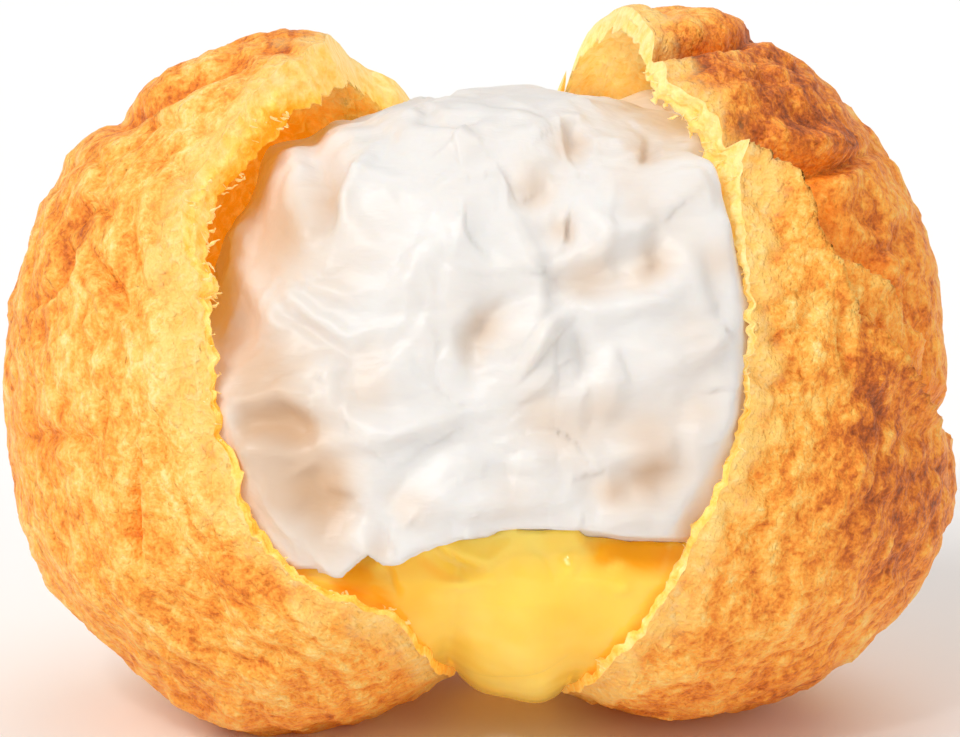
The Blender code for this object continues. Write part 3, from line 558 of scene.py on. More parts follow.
def fold_height(at, folds, soft=STEP_EDGE):
    """The height that all folds together give at these sheet points."""
    total = np.zeros(len(at))
    for points, width, height, kind in folds:
        line = np.array(points, float)
        if kind == STEP:
            line = rounded(line)
        margin = width * (FOLD_REACH if kind == RIDGE else STEP_REACH)
        near = np.flatnonzero(((at > line.min(axis=0) - margin) & (at < line.max(axis=0) + margin)).all(axis=1))
        nearest, side, along = place_on(line, at[near])
        taper = FOLD_END + (1.0 - FOLD_END) * np.sin(math.pi * along) ** FOLD_END_CURVE
        if kind == RIDGE:
            total[near] += height * taper * np.exp(-((nearest / width) ** 2))
        else:
            edge = nearest * side / width
            raised = np.exp(-np.clip(edge, 0.0, None) / STEP_RAISED_WIDTHS) * smooth(-soft, soft, edge)
            sunk = np.exp(-np.clip(-edge, 0.0, None) / STEP_SUNK_WIDTHS) * smooth(-soft, soft, -edge)
            total[near] += height * taper * (STEP_RAISED * raised - STEP_SUNK * sunk)
    return total


def turned_round(at):
    """Sheet points as seen from behind, where the front's folds and colours are used again."""
    return at * (-1.0, 1.0) + (2.0 * SHEET_MIDDLE[0], 0.0)


def drawn(at, places):
    """How strongly the coloured places show at these sheet points."""
    total = np.zeros(len(at))
    for across, down, radius, strength in places:
        total += strength * np.exp(-((np.hypot(at[:, 0] - across, at[:, 1] - down) / radius) ** 2))
    return total


class BothSides:
    """Drawings of the front, and the same drawings turned round for the back."""

    def __init__(self, directions, points):
        self.at = sheet(points)
        self.front = smooth(*FRONT_FOLDS, directions[:, 2])
        self.back = smooth(*BACK_FOLDS, directions[:, 2]) * smooth(*BACK_CLEAR, np.abs(points[:, 0]))

    def folds(self, folds):
        return fold_height(self.at, folds) * self.front + fold_height(turned_round(self.at), folds) * self.back

    def places(self, places):
        return drawn(self.at, places) * self.front + drawn(turned_round(self.at), places) * self.back


def rim_directions():
    """Directions from the middle to the corners of the torn edge."""
    path = np.array(RIM_PATH, float)
    at = (path[:, :2] - SHEET_MIDDLE) * (PITCH, -PITCH)
    radius = BODY.radius(np.arctan2(at[:, 1], at[:, 0]))
    flat = np.clip(np.hypot(at[:, 0], at[:, 1]) / radius, 0.0, 1.0)
    away = path[:, 2] * (1.0 - flat**ROUNDNESS) ** (1.0 / ROUNDNESS) * HALF_DEPTH
    found = np.column_stack([at, away])
    return found / np.linalg.norm(found, axis=1, keepdims=True)


def forward_axes(rise):
    """An axis that leaves the puff's front at this rise, and the upward axis square to it."""
    return (
        np.array([0.0, math.sin(rise), -math.cos(rise)]),
        np.array([0.0, math.cos(rise), math.sin(rise)]),
    )


def polar(directions, rise=OPENING_RISE):
    """Turn about the forward axis, and angle from it."""
    forward, upward = forward_axes(rise)
    turn = np.arctan2(directions[:, 0], directions @ upward) % TURN
    return turn, np.arccos(np.clip(directions @ forward, -1.0, 1.0))


def direction(turn, angle, rise=OPENING_RISE):
    """The unit direction at this turn about the forward axis and angle from it."""
    forward, upward = forward_axes(rise)
    flat = np.sin(angle)
    across = (flat * np.sin(turn))[:, None] * np.array([1.0, 0.0, 0.0])
    return across + (flat * np.cos(turn))[:, None] * upward + np.cos(angle)[:, None] * forward


class Rim:
    """The torn edge as an angle from the opening's axis at each turn about it."""

    SAMPLES = 2880
    EDGE_POINTS = 720
    CHUNK = 8000

    def __init__(self):
        turn, angle = polar(rim_directions())
        order = np.argsort(turn)
        self.turn = turn[order]
        self.angle_at_turn = angle[order]
        edge_turn = self.even_turns(self.EDGE_POINTS)
        self.edge = direction(edge_turn, self.angle(edge_turn))

    def angle(self, turn):
        return np.interp(turn % TURN, self.turn, self.angle_at_turn, period=TURN)

    def even_turns(self, count):
        """Turns spread evenly by the length of the edge and of the widest circle together."""
        grid = np.arange(self.SAMPLES + 1) * TURN / self.SAMPLES
        angle = self.angle(grid)
        edge = np.hypot(np.diff(angle), np.sin(angle[1:]) * TURN / self.SAMPLES)
        length = np.concatenate([[0.0], np.cumsum(edge / edge.sum() + 1.0 / self.SAMPLES)])
        return np.interp(np.arange(count) * length[-1] / count, length, grid)

    def inside(self, directions):
        """Angle from the torn edge, above 0 inside the opening and below 0 under the crust."""
        nearest = np.empty(len(directions))
        for start in range(0, len(directions), self.CHUNK):
            part = directions[start : start + self.CHUNK] @ self.edge.T
            nearest[start : start + self.CHUNK] = np.arccos(np.clip(part.max(axis=1), -1.0, 1.0))
        turn, angle = polar(directions)
        return np.where(angle < self.angle(turn), nearest, -nearest)


RIM = Rim()


def ball(name, lines, rows, first=0, last=None):
    """A grid closed round into a ball, from its first row to its last, and each vertex's line and row."""
    last = rows if last is None else last
    work = bmesh.new()
    bmesh.ops.create_grid(work, x_segments=lines, y_segments=last - first, size=1.0)
    work.verts.ensure_lookup_table()
    at = np.array([vertex.co for vertex in work.verts])
    line = np.round((at[:, 0] + 1.0) / 2.0 * lines).astype(int)
    row = first + np.round((at[:, 1] + 1.0) / 2.0 * (last - first)).astype(int)
    number = {}
    joined = {}
    for index, place in enumerate(zip(line.tolist(), row.tolist())):
        number[place] = index
    for (a, b), index in number.items():
        if b in (0, rows):
            target = number[0, b]
        else:
            target = number[a % lines, b]
        if target != index:
            joined[work.verts[index]] = work.verts[target]
    bmesh.ops.weld_verts(work, targetmap=joined)
    mesh = bpy.data.meshes.new(name)
    work.to_mesh(mesh)
    work.free()
    at = np.empty(len(mesh.vertices) * 3)
    mesh.vertices.foreach_get("co", at)
    at = at.reshape(-1, 3)
    line = np.round((at[:, 0] + 1.0) / 2.0 * lines).astype(int) % lines
    row = first + np.round((at[:, 1] + 1.0) / 2.0 * (last - first)).astype(int)
    return mesh, line, row


def faces_out(mesh, points):
    """Whether the mesh's faces look away from the middle of the puff's own frame."""
    corner = np.empty(len(mesh.loops), int)
    mesh.loops.foreach_get("vertex_index", corner)
    start = np.empty(len(mesh.polygons), int)
    mesh.polygons.foreach_get("loop_start", start)
    a, b, c = (points[corner[start + i]] for i in range(3))
    return (np.cross(b - a, c - a) * a).sum() > 0.0


def stand(points):
    """Points of the puff's own frame as points that stand on the table, with the underside flat."""
    away = points[:, 1] * math.sin(SHEET_TILT) + points[:, 2] * math.cos(SHEET_TILT)
    height = points[:, 1] * math.cos(SHEET_TILT) - points[:, 2] * math.sin(SHEET_TILT) + MIDDLE_HEIGHT
    across_shift, away_shift = FOOTPRINT_MIDDLE
    return np.column_stack([points[:, 0] - across_shift, away - away_shift, np.maximum(height, 0.0)])


def finish_piece(mesh, points, material, node, slot, out=True, **layers):
    """The mesh with these points and named values as a smooth piece that stands for its CAD node."""
    if faces_out(mesh, points) != out:
        mesh.flip_normals()
    mesh.vertices.foreach_set("co", stand(points).ravel())
    for name, values in layers.items():
        layer = mesh.attributes.new(name, "FLOAT", "POINT")
        layer.data.foreach_set("value", values.astype(np.float32))
    mesh.shade_smooth()
    mesh.materials.append(material)
    made = bpy.data.objects.new(mesh.name, mesh)
    bpy.context.scene.collection.objects.link(made)
    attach(made, "root")
    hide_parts(node)
    return made


def cream_body(directions, inside):
    """Distance from the middle to the cream's rounded body, without its folds."""
    body = reach(directions, CREAM, CREAM_HALF_DEPTH, CREAM_ROUNDNESS)
    wall = reach(directions, BODY, HALF_DEPTH, ROUNDNESS) - WALL - HIDDEN_GAP
    filled = smooth(*FILLED_BACK, directions[:, 2]) * smooth(*FILLED_ACROSS, directions[:, 0])
    filled = filled * smooth(*FILLED_UNDER, -inside)
    return body + np.clip(wall - body, 0.0, None) * filled


def inner_distance(directions, inside):
    """Distance from the middle to the hollow's wall, at these angles inside the torn edge."""
    turn, _ = polar(directions)
    at_turn = np.array(RIM_WALL)
    rim_wall = np.interp(np.degrees(turn), at_turn[:, 0], at_turn[:, 1])
    thickness = rim_wall + (WALL - rim_wall) * smooth(0.0, RIM_TAPER, -inside)
    wall = reach(directions, BODY, HALF_DEPTH, ROUNDNESS) - thickness
    crumb = np.clip(wall - SLOT - cream_body(directions, inside), 0.0, None)
    return wall - crumb * smooth(0.0, CRUMB_TAPER, -inside)


def ragged_edge(turn):
    """The torn edge's angle with its small tears."""
    around = np.column_stack([np.cos(turn), np.sin(turn), np.zeros(len(turn))])
    torn = np.zeros(len(turn))
    for seed, (size, count) in enumerate(RIM_RAGGEDNESS):
        torn += size * soft_noise(around, TURN / count, 40 + seed)
    calm = RIM_CALM[0] + (RIM_CALM[1] - RIM_CALM[0]) * (0.5 + 0.5 * soft_noise(around, TURN / 14.0, 39))
    return RIM.angle(turn) + torn * calm


class Crust:
    """The crust's outer surface at these directions, with its folds, swellings, cracks and colours, among them
    painted glow, painted shade in the folds and creases, and painted highlights.
    """

    def __init__(self, way, turn):
        self.body = reach(way, BODY, HALF_DEPTH, ROUNDNESS)
        base = way * self.body[:, None]
        self.inside = RIM.inside(way)
        sides = BothSides(way, base)
        folds = sides.folds(CRUST_FOLDS)
        uneven = soft_noise(base, 7.0 * MM, 31)
        # Browning with painted shade, painted glow, and paleness with painted highlights, from the drawn places.
        self.brown = BROWNING_AND_SHADE_SHARE * sides.places(BROWNING_AND_SHADE) * (1.0 + 0.45 * uneven)
        self.glow = sides.places(GLOWING) * (0.75 + 0.6 * uneven)
        self.pale = sides.places(PALE_AND_HIGHLIGHT)
        under = -self.inside

        moved = shifted(base, 6.0 * MM, 2.0 * MM, 20)
        puffs = smooth(0.0, 0.55, crackle(moved, 7.5 * MM, 27))
        small_puffs = smooth(0.0, 0.6, crackle(shifted(base, 2.6 * MM, 0.9 * MM, 33), 2.9 * MM, 37))
        crackled = smooth(0.10, 0.55, self.brown + 0.25 * uneven)
        lumps = 0.55 * MM * layered_noise(base, 10.0 * MM, 3, 2)
        creased = 0.50 * MM * (1.0 - np.abs(soft_noise(moved, 4.2 * MM, 44))) ** 4
        around = np.column_stack([np.cos(turn), np.sin(turn), np.zeros(len(turn))]) * 13.0 * MM
        fibre_place = around + np.outer(under, (0.0, 0.0, 36.0 * MM))
        strands = layered_noise(shifted(fibre_place, 4.0 * MM, 0.8 * MM, 46), 1.3 * MM, 49, 2)
        near_rim = smooth(0.60, 0.05, under)
        fine = layered_noise(base, 1.4 * MM, 15, 2)
        small = 0.26 * MM * strands * (0.45 + 0.55 * near_rim) + 0.16 * MM * fine
        small = small + (0.12 + 0.18 * crackled) * MM * (small_puffs - 0.7)
        relief = lumps - creased * (1.0 - 0.5 * crackled)
        relief = relief + 0.55 * MM * (puffs - 0.7) * crackled + 0.20 * MM * (puffs - 0.7) + small
        relief = relief * (0.45 + 0.55 * smooth(0.0, 0.07, under))
        self.distance = self.body + folds + relief
        gap_lines = smooth(0.30, 0.0, puffs) * crackled
        # Painted shade: darker where the surface sinks into folds, crack lines and creases.
        self.sunk = np.clip(-folds / (1.6 * MM), 0.0, 1.0) + 0.5 * gap_lines
        self.sunk = self.sunk + 0.35 * smooth(0.55, 1.0, creased / (0.50 * MM))
        # Painted highlight and shade by relief: paler on small crests, darker in creases.
        self.high = np.clip(0.5 + (small - 0.3 * creased) / (0.6 * MM), 0.0, 1.0)
        self.flesh = 0.8 * smooth(0.10, 0.0, under + 0.06 * soft_noise(base, 2.2 * MM, 60))
        self.fibre = fibre_place


def crust(material):
    rows = OUTER_ROWS + BAND_ROWS + INNER_ROWS
    mesh, line, row = ball("choux_crust", SHELL_LINES, rows, last=OUTER_ROWS)
    turn = RIM.even_turns(SHELL_LINES)[line]
    share = 1.0 - (1.0 - row / OUTER_ROWS) ** ROW_CROWDING
    way = direction(turn, math.pi + (ragged_edge(turn) - math.pi) * share)
    made = Crust(way, turn)
    # The colour values carry browning with painted shade, painted glow, paleness with painted highlights, and
    # painted shade and highlights by relief.
    return finish_piece(
        mesh, way * made.distance[:, None], material, "choux_shell", "crust",
        brown=np.clip(made.brown, 0.0, 1.2), glow=np.clip(made.glow, 0.0, 1.0), pale=np.clip(made.pale, 0.0, 1.0),
        sunk=np.clip(made.sunk, 0.0, 1.0), flesh=made.flesh, high=made.high,
        fibre_x=made.fibre[:, 0], fibre_y=made.fibre[:, 1], fibre_z=made.fibre[:, 2],
    )


def crumb(material):
    """The torn band of the wall and the rough wall of the hollow."""
    rows = OUTER_ROWS + BAND_ROWS + INNER_ROWS
    mesh, line, row = ball("torn_crumb", SHELL_LINES, rows, first=OUTER_ROWS)
    turn = RIM.even_turns(SHELL_LINES)[line]
    edge = ragged_edge(turn)
    inner = row >= OUTER_ROWS + BAND_ROWS
    inward = np.clip((rows - row) / INNER_ROWS, 0.0, 1.0)
    share = np.where(inner, 1.0 - (1.0 - inward) ** ROW_CROWDING, 1.0)
    across = np.clip((row - OUTER_ROWS) / BAND_ROWS, 0.0, 1.0)
    way = direction(turn, math.pi + (edge - math.pi) * share)
    edge_turn = RIM.even_turns(SHELL_LINES)
    edge_way = direction(edge_turn, ragged_edge(edge_turn))
    lip = Crust(edge_way, edge_turn).distance[line]
    inside = RIM.inside(way)
    body = reach(way, BODY, HALF_DEPTH, ROUNDNESS)
    base = way * body[:, None]
    rough = layered_noise(base, 2.4 * MM, 50, 3)
    holes = smooth(0.0, 0.45, crackle(shifted(base, 3.0 * MM, 1.0 * MM, 52), 3.4 * MM, 56))
    hollow = inner_distance(way, inside) + 0.75 * MM * rough + 0.6 * MM * (1.0 - holes)
    hollow = np.minimum(hollow, Crust(way, turn).distance - LEAST_WALL)
    distance = np.where(inner, hollow, lip + (hollow - lip) * across)
    points = way * distance[:, None]
    band = np.sin(math.pi * across) * ~inner
    torn = layered_noise(shifted(points, 1.2 * MM, 0.5 * MM, 61), 0.9 * MM, 64, 3)
    opened = direction(turn, math.pi + (edge - math.pi) * share - 0.01) - way
    opened = opened / np.linalg.norm(opened, axis=1, keepdims=True)
    layers = layered_noise(shifted(Crust(edge_way, edge_turn).fibre[line] + np.outer(across, (0.0, 0.0, 6.0 * MM)),
        3.0 * MM, 0.8 * MM, 66), 1.5 * MM, 68, 2)
    points = points + opened * (band * (0.25 * MM + 0.40 * MM * torn + 0.45 * MM * layers))[:, None]
    # Painted shade and painted glow in the gap beside the cream.
    gap_shade_and_glow = drawn(sheet(points), GAP_SHADE_AND_GLOW)
    tone = np.array(RIM_TONE)
    baked = np.interp(np.degrees(turn), tone[:, 0], tone[:, 1])
    baked = baked + 0.16 * layered_noise(points, 4.0 * MM, 84, 2) - 0.16 * np.where(inner, 0.0, layers)
    # Painted shade and painted glow deeper in the hollow and in the gap; the baked tone along the edge is the
    # crumb's own.
    deep = np.where(inner, 0.20 + 0.90 * smooth(0.16, 0.75, -inside), 0.20 * across) + 0.8 * gap_shade_and_glow + baked
    return finish_piece(
        mesh, points, material, "choux_shell", "crust", out=False,
        backlit=np.clip(drawn(sheet(points), BACKLIT) * smooth(-0.30, 0.10, way[:, 2]), 0.0, 1.0),
        deep=np.clip(deep, -0.2, 1.3), hole=np.clip(1.0 - holes, 0.0, 1.0), torn=np.clip(0.5 - 0.5 * torn, 0.0, 1.0),
    )


def strand(work, start, end, sag, radius, rng):
    """A thin tapered strand of crumb from one point to another."""
    sides = 6
    steps = 9
    line = end - start
    axis = line / np.linalg.norm(line)
    first = np.cross(axis, (0.3, 0.9, 0.2))
    first = first / np.linalg.norm(first)
    second = np.cross(axis, first)
    rings = []
    wave = rng.uniform(0.0, TURN, 2)
    for i in range(steps + 1):
        share = i / steps
        middle = start + line * share + sag * math.sin(math.pi * share)
        middle = middle + first * 0.12 * MM * math.sin(7.0 * share + wave[0])
        thick = radius * (1.0 - 0.75 * share) * (0.8 + 0.3 * math.sin(11.0 * share + wave[1]))
        ring = []
        for j in range(sides):
            turn = TURN * j / sides
            out = first * math.cos(turn) * 1.6 + second * math.sin(turn) * 0.5
            ring.append(work.verts.new(stand((middle + out * thick)[None, :])[0]))
        rings.append(ring)
    for low, high in zip(rings, rings[1:]):
        for j in range(sides):
            work.faces.new((low[j], low[(j + 1) % sides], high[(j + 1) % sides], high[j]))
    work.faces.new(rings[0][::-1])
    work.faces.new(rings[-1])


def shreds(material):
    """Torn strands of crumb that stand out from the torn edge."""
    rng = np.random.default_rng(SHRED_SEED)
    work = bmesh.new()
    for low, high, count, length, radius in SHREDS:
        for _ in range(count):
            turn = np.radians([rng.uniform(low, high)])
            edge = ragged_edge(turn)
            outer = Crust(direction(turn, edge), turn).distance[0]
            inner = inner_distance(direction(turn, edge), np.zeros(1))[0]
            level = rng.uniform(0.1, 1.0)
            way = direction(turn, edge + 0.012)[0]
            start = way * (outer + (inner - outer) * level)
            aside = rng.choice((-1.0, 1.0)) * length * rng.uniform(0.4, 1.1) / outer
            ahead = direction(turn + aside, edge - length * rng.uniform(0.1, 0.6) / outer)[0]
            end = ahead * (outer + (inner - outer) * min(level + rng.uniform(-0.1, 0.3), 1.0))
            sag = ahead * rng.uniform(-0.3, 0.2) * MM
            strand(work, start, end, sag, radius * rng.uniform(0.6, 1.3), rng)
    mesh = bpy.data.meshes.new("crumb_shreds")
    bmesh.ops.recalc_face_normals(work, faces=work.faces)
    work.to_mesh(mesh)
    work.free()
    deep = mesh.attributes.new("deep", "FLOAT", "POINT")
    deep.data.foreach_set("value", np.full(len(mesh.vertices), SHRED_TONE, np.float32))
    mesh.shade_smooth()
    mesh.materials.append(material)
    made = bpy.data.objects.new("crumb_shreds", mesh)
    bpy.context.scene.collection.objects.link(made)
    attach(made, "root")
    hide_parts("choux_shell")


def interface_height(points):
    """Height, in the puff's own frame, of the custard's top, and the gap from it to the cream."""
    lip = np.array(LIP_LINE, float)
    hidden = smooth(0.0, LIP_THICKNESS, points[:, 2] - LIP_DEPTH)
    down = np.interp(sheet(points)[:, 0], lip[:, 0], lip[:, 1])
    down = down + (LAYER_DOWN - down) * hidden
    height = (SHEET_MIDDLE[1] - down) * PITCH + LAYER_FALL * (points[:, 2] - LIP_DEPTH)
    return height, LAYER_GAP + (HIDDEN_LAYER_GAP - LAYER_GAP) * hidden


def filling_limit(directions, free, rise, rim_gap):
    """The filling's distance: free inside the opening, and held off the wall near and under the crust."""
    inside = RIM.inside(directions)
    gap = rim_gap + (HIDDEN_GAP - rim_gap) * smooth(*HIDDEN_FROM_RIM, -inside)
    held = inner_distance(directions, inside) - gap
    return np.where(free > held, held + (free - held) * smooth(*rise, inside), free)


def cream(material):
    mesh, line, row = ball("cream_swirl", CREAM_LINES, CREAM_ROWS)
    around = line / CREAM_LINES
    down = row / CREAM_ROWS
    turn = TURN * around + CREAM_LINE_CROWDING * np.sin(TURN * around)
    angle = math.pi * down + 0.5 * CREAM_ROW_CROWDING * np.sin(TURN * down)
    way = direction(turn, angle, STRAIGHT_UP)
    free = cream_body(way, RIM.inside(way))
    base = way * free[:, None]
    front = smooth(*CREAM_FOLDED, way[:, 2])
    swept = shifted(base, 9.0 * MM, 3.0 * MM, 70)
    waved = shifted(shifted(base, 5.0 * MM, 0.9 * MM, 71), 2.0 * MM, 0.25 * MM, 73)
    folds = fold_height(sheet(waved), CREAM_FOLDS, CREAM_STEP_EDGE)
    spread = 0.30 * MM * layered_noise(swept * (0.7, 1.3, 1.0), 10.0 * MM, 74, 2)
    lobes = 1.00 * MM * smooth(0.0, 0.80, crackle(shifted(swept, 7.0 * MM, 3.0 * MM, 95), 11.0 * MM, 98))
    lobes = lobes + 0.34 * MM * smooth(0.0, 0.9, crackle(shifted(swept, 3.0 * MM, 1.6 * MM, 101), 5.0 * MM, 104))
    strokes = 0.14 * MM * (1.0 - np.abs(soft_noise(swept * (0.5, 1.5, 1.0), 5.0 * MM, 90))) ** 3
    fine = 0.05 * MM * layered_noise(swept * (0.35, 1.6, 1.0), 2.0 * MM, 78, 2)
    free = free + folds * front + spread + lobes + strokes + fine - 0.65 * MM
    limit = filling_limit(way, free, CREAM_RISE, CREAM_GAP)
    covered = RIM.inside(way) < -COVERED
    under_crust = Crust(way[covered], polar(way[covered])[0]).distance - LEAST_COVER
    limit[covered] = np.minimum(limit[covered], under_crust)
    low = np.zeros(len(way))
    high = limit
    for _ in range(HALVINGS):
        middle = 0.5 * (low + high)
        points = way * middle[:, None]
        layer, gap = interface_height(points)
        above = points[:, 1] > layer + gap
        low = np.where(above, middle, low)
        high = np.where(above, high, middle)
    return finish_piece(
        mesh, way * low[:, None], material, "whipped_cream", "cream",
        # Painted shade: the cream turns beige in the hollows of its folds.
        hollow=np.clip(-folds * front / (2.0 * MM), 0.0, 1.0),
        warm=np.clip(drawn(sheet(base), WARMTH) * smooth(0.3, -0.1, way[:, 2]), 0.0, 1.0),
    )


def custard_inside(points):
    """Which points are in the custard."""
    distance = np.linalg.norm(points, axis=1)
    directions = points / distance[:, None]
    swell = np.array(CUSTARD_SWELL)
    at = sheet(points)
    share = np.interp(at[:, 1], swell[:, 0], swell[:, 1])
    kept = np.exp(-np.abs((at[:, 0] - TONGUE_MIDDLE) / TONGUE_HALF_WIDTH) ** TONGUE_SQUARENESS)
    share = np.minimum(share, TONGUE_START) + np.clip(share - TONGUE_START, 0.0, None) * kept
    share = share + (CUSTARD_UNDERSIDE - share) * smooth(*UNDERSIDE_DEPTHS, directions[:, 2])
    body = reach(directions, BODY, HALF_DEPTH, ROUNDNESS)
    at_surface = sheet(directions * body[:, None])
    free = body * share + fold_height(at_surface, CUSTARD_FOLDS) * smooth(0.0, -0.3, directions[:, 2])
    layer, _ = interface_height(points)
    limit = filling_limit(directions, free, CUSTARD_RISE, CUSTARD_GAP)
    return (points[:, 1] < layer) & (distance < limit)


def custard_shade(at):
    """Painted shade: how deep the orange is in the pockets beside the tongue and under the cream."""
    return drawn(at, CUSTARD_SHADE)


def custard(material):
    mesh, line, row = ball("custard_flow", CUSTARD_LINES, CUSTARD_ROWS)
    turn = line * TURN / CUSTARD_LINES
    angle = math.pi * (1.0 - row / CUSTARD_ROWS) ** CUSTARD_CROWDING
    way = direction(turn, angle, CUSTARD_AIM)
    across, down, away = CUSTARD_MIDDLE
    middle = np.array([
        (across - SHEET_MIDDLE[0]) * PITCH,
        (SHEET_MIDDLE[1] - down) * PITCH,
        away,
    ])
    low = np.zeros(len(way))
    high = np.full(len(way), 2.0 * HALF_DEPTH)
    for _ in range(HALVINGS):
        half = 0.5 * (low + high)
        held = custard_inside(middle + way * half[:, None])
        low = np.where(held, half, low)
        high = np.where(held, high, half)
    points = middle + way * low[:, None]
    # Painted shade: deeper orange in the drawn shade places and in the pockets that the folds sink.
    pocket = fold_height(sheet(points), CUSTARD_FOLDS) * smooth(0.0, -0.3, points[:, 2] / HALF_DEPTH)
    return finish_piece(
        mesh, points, material, "custard", "custard", pocket=np.clip(custard_shade(sheet(points)) - pocket / (1.3 * MM), 0.0, 1.0),
    )


class Nodes:
    """Short names for building a material's nodes."""

    def __init__(self, name):
        self.material = bpy.data.materials.new(name)
        self.material.use_nodes = True
        self.tree = self.material.node_tree
        self.shader = self.tree.nodes["Principled BSDF"]
        self.place = self.tree.nodes.new("ShaderNodeTexCoord").outputs["Object"]

    def link(self, source, target):
        if hasattr(source, "is_output"):
            self.tree.links.new(source, target)
        else:
            target.default_value = source

    def value(self, name):
        node = self.tree.nodes.new("ShaderNodeAttribute")
        node.attribute_name = name
        return node.outputs["Fac"]

    def noise(self, size, detail=4.0, roughness=0.55, distortion=0.0, place=None):
        node = self.tree.nodes.new("ShaderNodeTexNoise")
        node.inputs["Scale"].default_value = 1.0 / size
        node.inputs["Detail"].default_value = detail
        node.inputs["Roughness"].default_value = roughness
        node.inputs["Distortion"].default_value = distortion
        self.tree.links.new(place or self.place, node.inputs["Vector"])
        return node.outputs["Fac"]

    def stretched(self, scale):
        node = self.tree.nodes.new("ShaderNodeMapping")
        node.inputs["Scale"].default_value = scale
        self.tree.links.new(self.place, node.inputs["Vector"])
        return node.outputs["Vector"]

    def math(self, operation, first, second, clamp=False):
        node = self.tree.nodes.new("ShaderNodeMath")
        node.operation = operation
        node.use_clamp = clamp
        self.link(first, node.inputs[0])
        self.link(second, node.inputs[1])
        return node.outputs[0]

    def ranged(self, source, low, high, start=0.0, end=1.0):
        node = self.tree.nodes.new("ShaderNodeMapRange")
        self.link(source, node.inputs["Value"])
        node.inputs["From Min"].default_value = low
        node.inputs["From Max"].default_value = high
        node.inputs["To Min"].default_value = start
        node.inputs["To Max"].default_value = end
        return node.outputs["Result"]

    def ramp(self, source, stops):
        node = self.tree.nodes.new("ShaderNodeValToRGB")
        elements = node.color_ramp.elements
        while len(elements) < len(stops):
            elements.new(0.5)
        for element, (position, colour) in zip(elements, stops):
            element.position = position
            element.color = (*linear(colour), 1.0)
        self.link(source, node.inputs["Fac"])
        return node.outputs["Color"]

    def mix(self, share, first, second):
        node = self.tree.nodes.new("ShaderNodeMix")
        node.data_type = "RGBA"
        self.link(share, node.inputs["Factor"])
        for source, target in ((first, node.inputs[6]), (second, node.inputs[7])):
            if isinstance(source, tuple):
                target.default_value = (*linear(source), 1.0)
            else:
                self.tree.links.new(source, target)
        return node.outputs[2]

    def bump(self, height, distance, strength=1.0, below=None):
        node = self.tree.nodes.new("ShaderNodeBump")
        node.inputs["Distance"].default_value = distance
        node.inputs["Strength"].default_value = strength
        self.tree.links.new(height, node.inputs["Height"])
        if below is not None:
            self.tree.links.new(below, node.inputs["Normal"])
        return node.outputs["Normal"]

    def set(self, name, source):
        self.link(source, self.shader.inputs[name])


def linear(colour):
    """Screen colour values from 0 to 255 as linear light."""
    return tuple(
        c / 255.0 / 12.92 if c / 255.0 <= 0.04045 else ((c / 255.0 + 0.055) / 1.055) ** 2.4 for c in colour
    )


def crust_material():
    n = Nodes("baked_crust")
    along = n.tree.nodes.new("ShaderNodeCombineXYZ")
    for i, name in enumerate(("fibre_x", "fibre_y", "fibre_z")):
        n.tree.links.new(n.value(name), along.inputs[i])
    mottle = n.noise(3.6 * MM, 4.0, 0.62)
    flecks = n.noise(1.0 * MM, 2.5, 0.66)
    fibres = n.noise(1.1 * MM, 2.5, 0.62, 0.0, along.outputs["Vector"])
    # Browning darkens the tone; it includes painted shade on the right lobe's right-facing side.
    tone = n.math("ADD", n.ranged(mottle, 0.32, 0.68, 0.18, 0.46), n.math("MULTIPLY", n.value("brown"), 0.66))
    grains = n.noise(0.45 * MM, 1.0, 0.6)
    tone = n.math("ADD", tone, n.ranged(flecks, 0.3, 0.7, -0.15, 0.15))
    tone = n.math("ADD", tone, n.ranged(fibres, 0.3, 0.7, -0.12, 0.13))
    tone = n.math("ADD", tone, n.ranged(grains, 0.3, 0.7, -0.06, 0.06))
    # Paler where the pale places lie, which include painted highlights on the flap edges.
    tone = n.math("SUBTRACT", tone, n.math("MULTIPLY", n.value("pale"), 0.26))
    # Painted highlight on small crests, and painted shade in sunk places.
    tone = n.math("ADD", tone, n.ranged(n.value("high"), 0.2, 0.8, 0.09, -0.09))
    tone = n.math("ADD", tone, n.math("MULTIPLY", n.value("sunk"), 0.12), clamp=True)
    skin = n.ramp(tone, (
        (0.0, (255, 226, 148)), (0.20, (255, 205, 108)), (0.42, (252, 173, 70)), (0.62, (232, 134, 44)),
        (0.80, (190, 94, 32)), (1.0, (126, 58, 26)),
    ))
    # Painted glow: orange mixed into the skin where the glow places lie.
    lit = n.mix(n.math("MULTIPLY", n.value("glow"), 0.62), skin, (236, 136, 24))
    edge = n.ramp(flecks, ((0.3, (252, 190, 88)), (0.5, (255, 208, 118)), (0.7, (255, 226, 152))))
    n.set("Base Color", n.mix(n.value("flesh"), lit, edge))
    # Painted glow: the whole crust gives off a little light, more where the glow places lie.
    n.set("Emission Color", n.mix(n.value("flesh"), (255, 132, 20), (255, 186, 84)))
    n.set("Emission Strength", n.math("ADD", 0.07, n.math("MULTIPLY", n.value("glow"), 0.14)))
    n.set("Roughness", n.ranged(mottle, 0.3, 0.7, 0.38, 0.56))
    n.set("Specular IOR Level", 0.25)
    first = n.bump(fibres, 0.60 * MM, 1.0)
    n.set("Normal", n.bump(flecks, 0.68 * MM, 1.0, first))
    return n.material


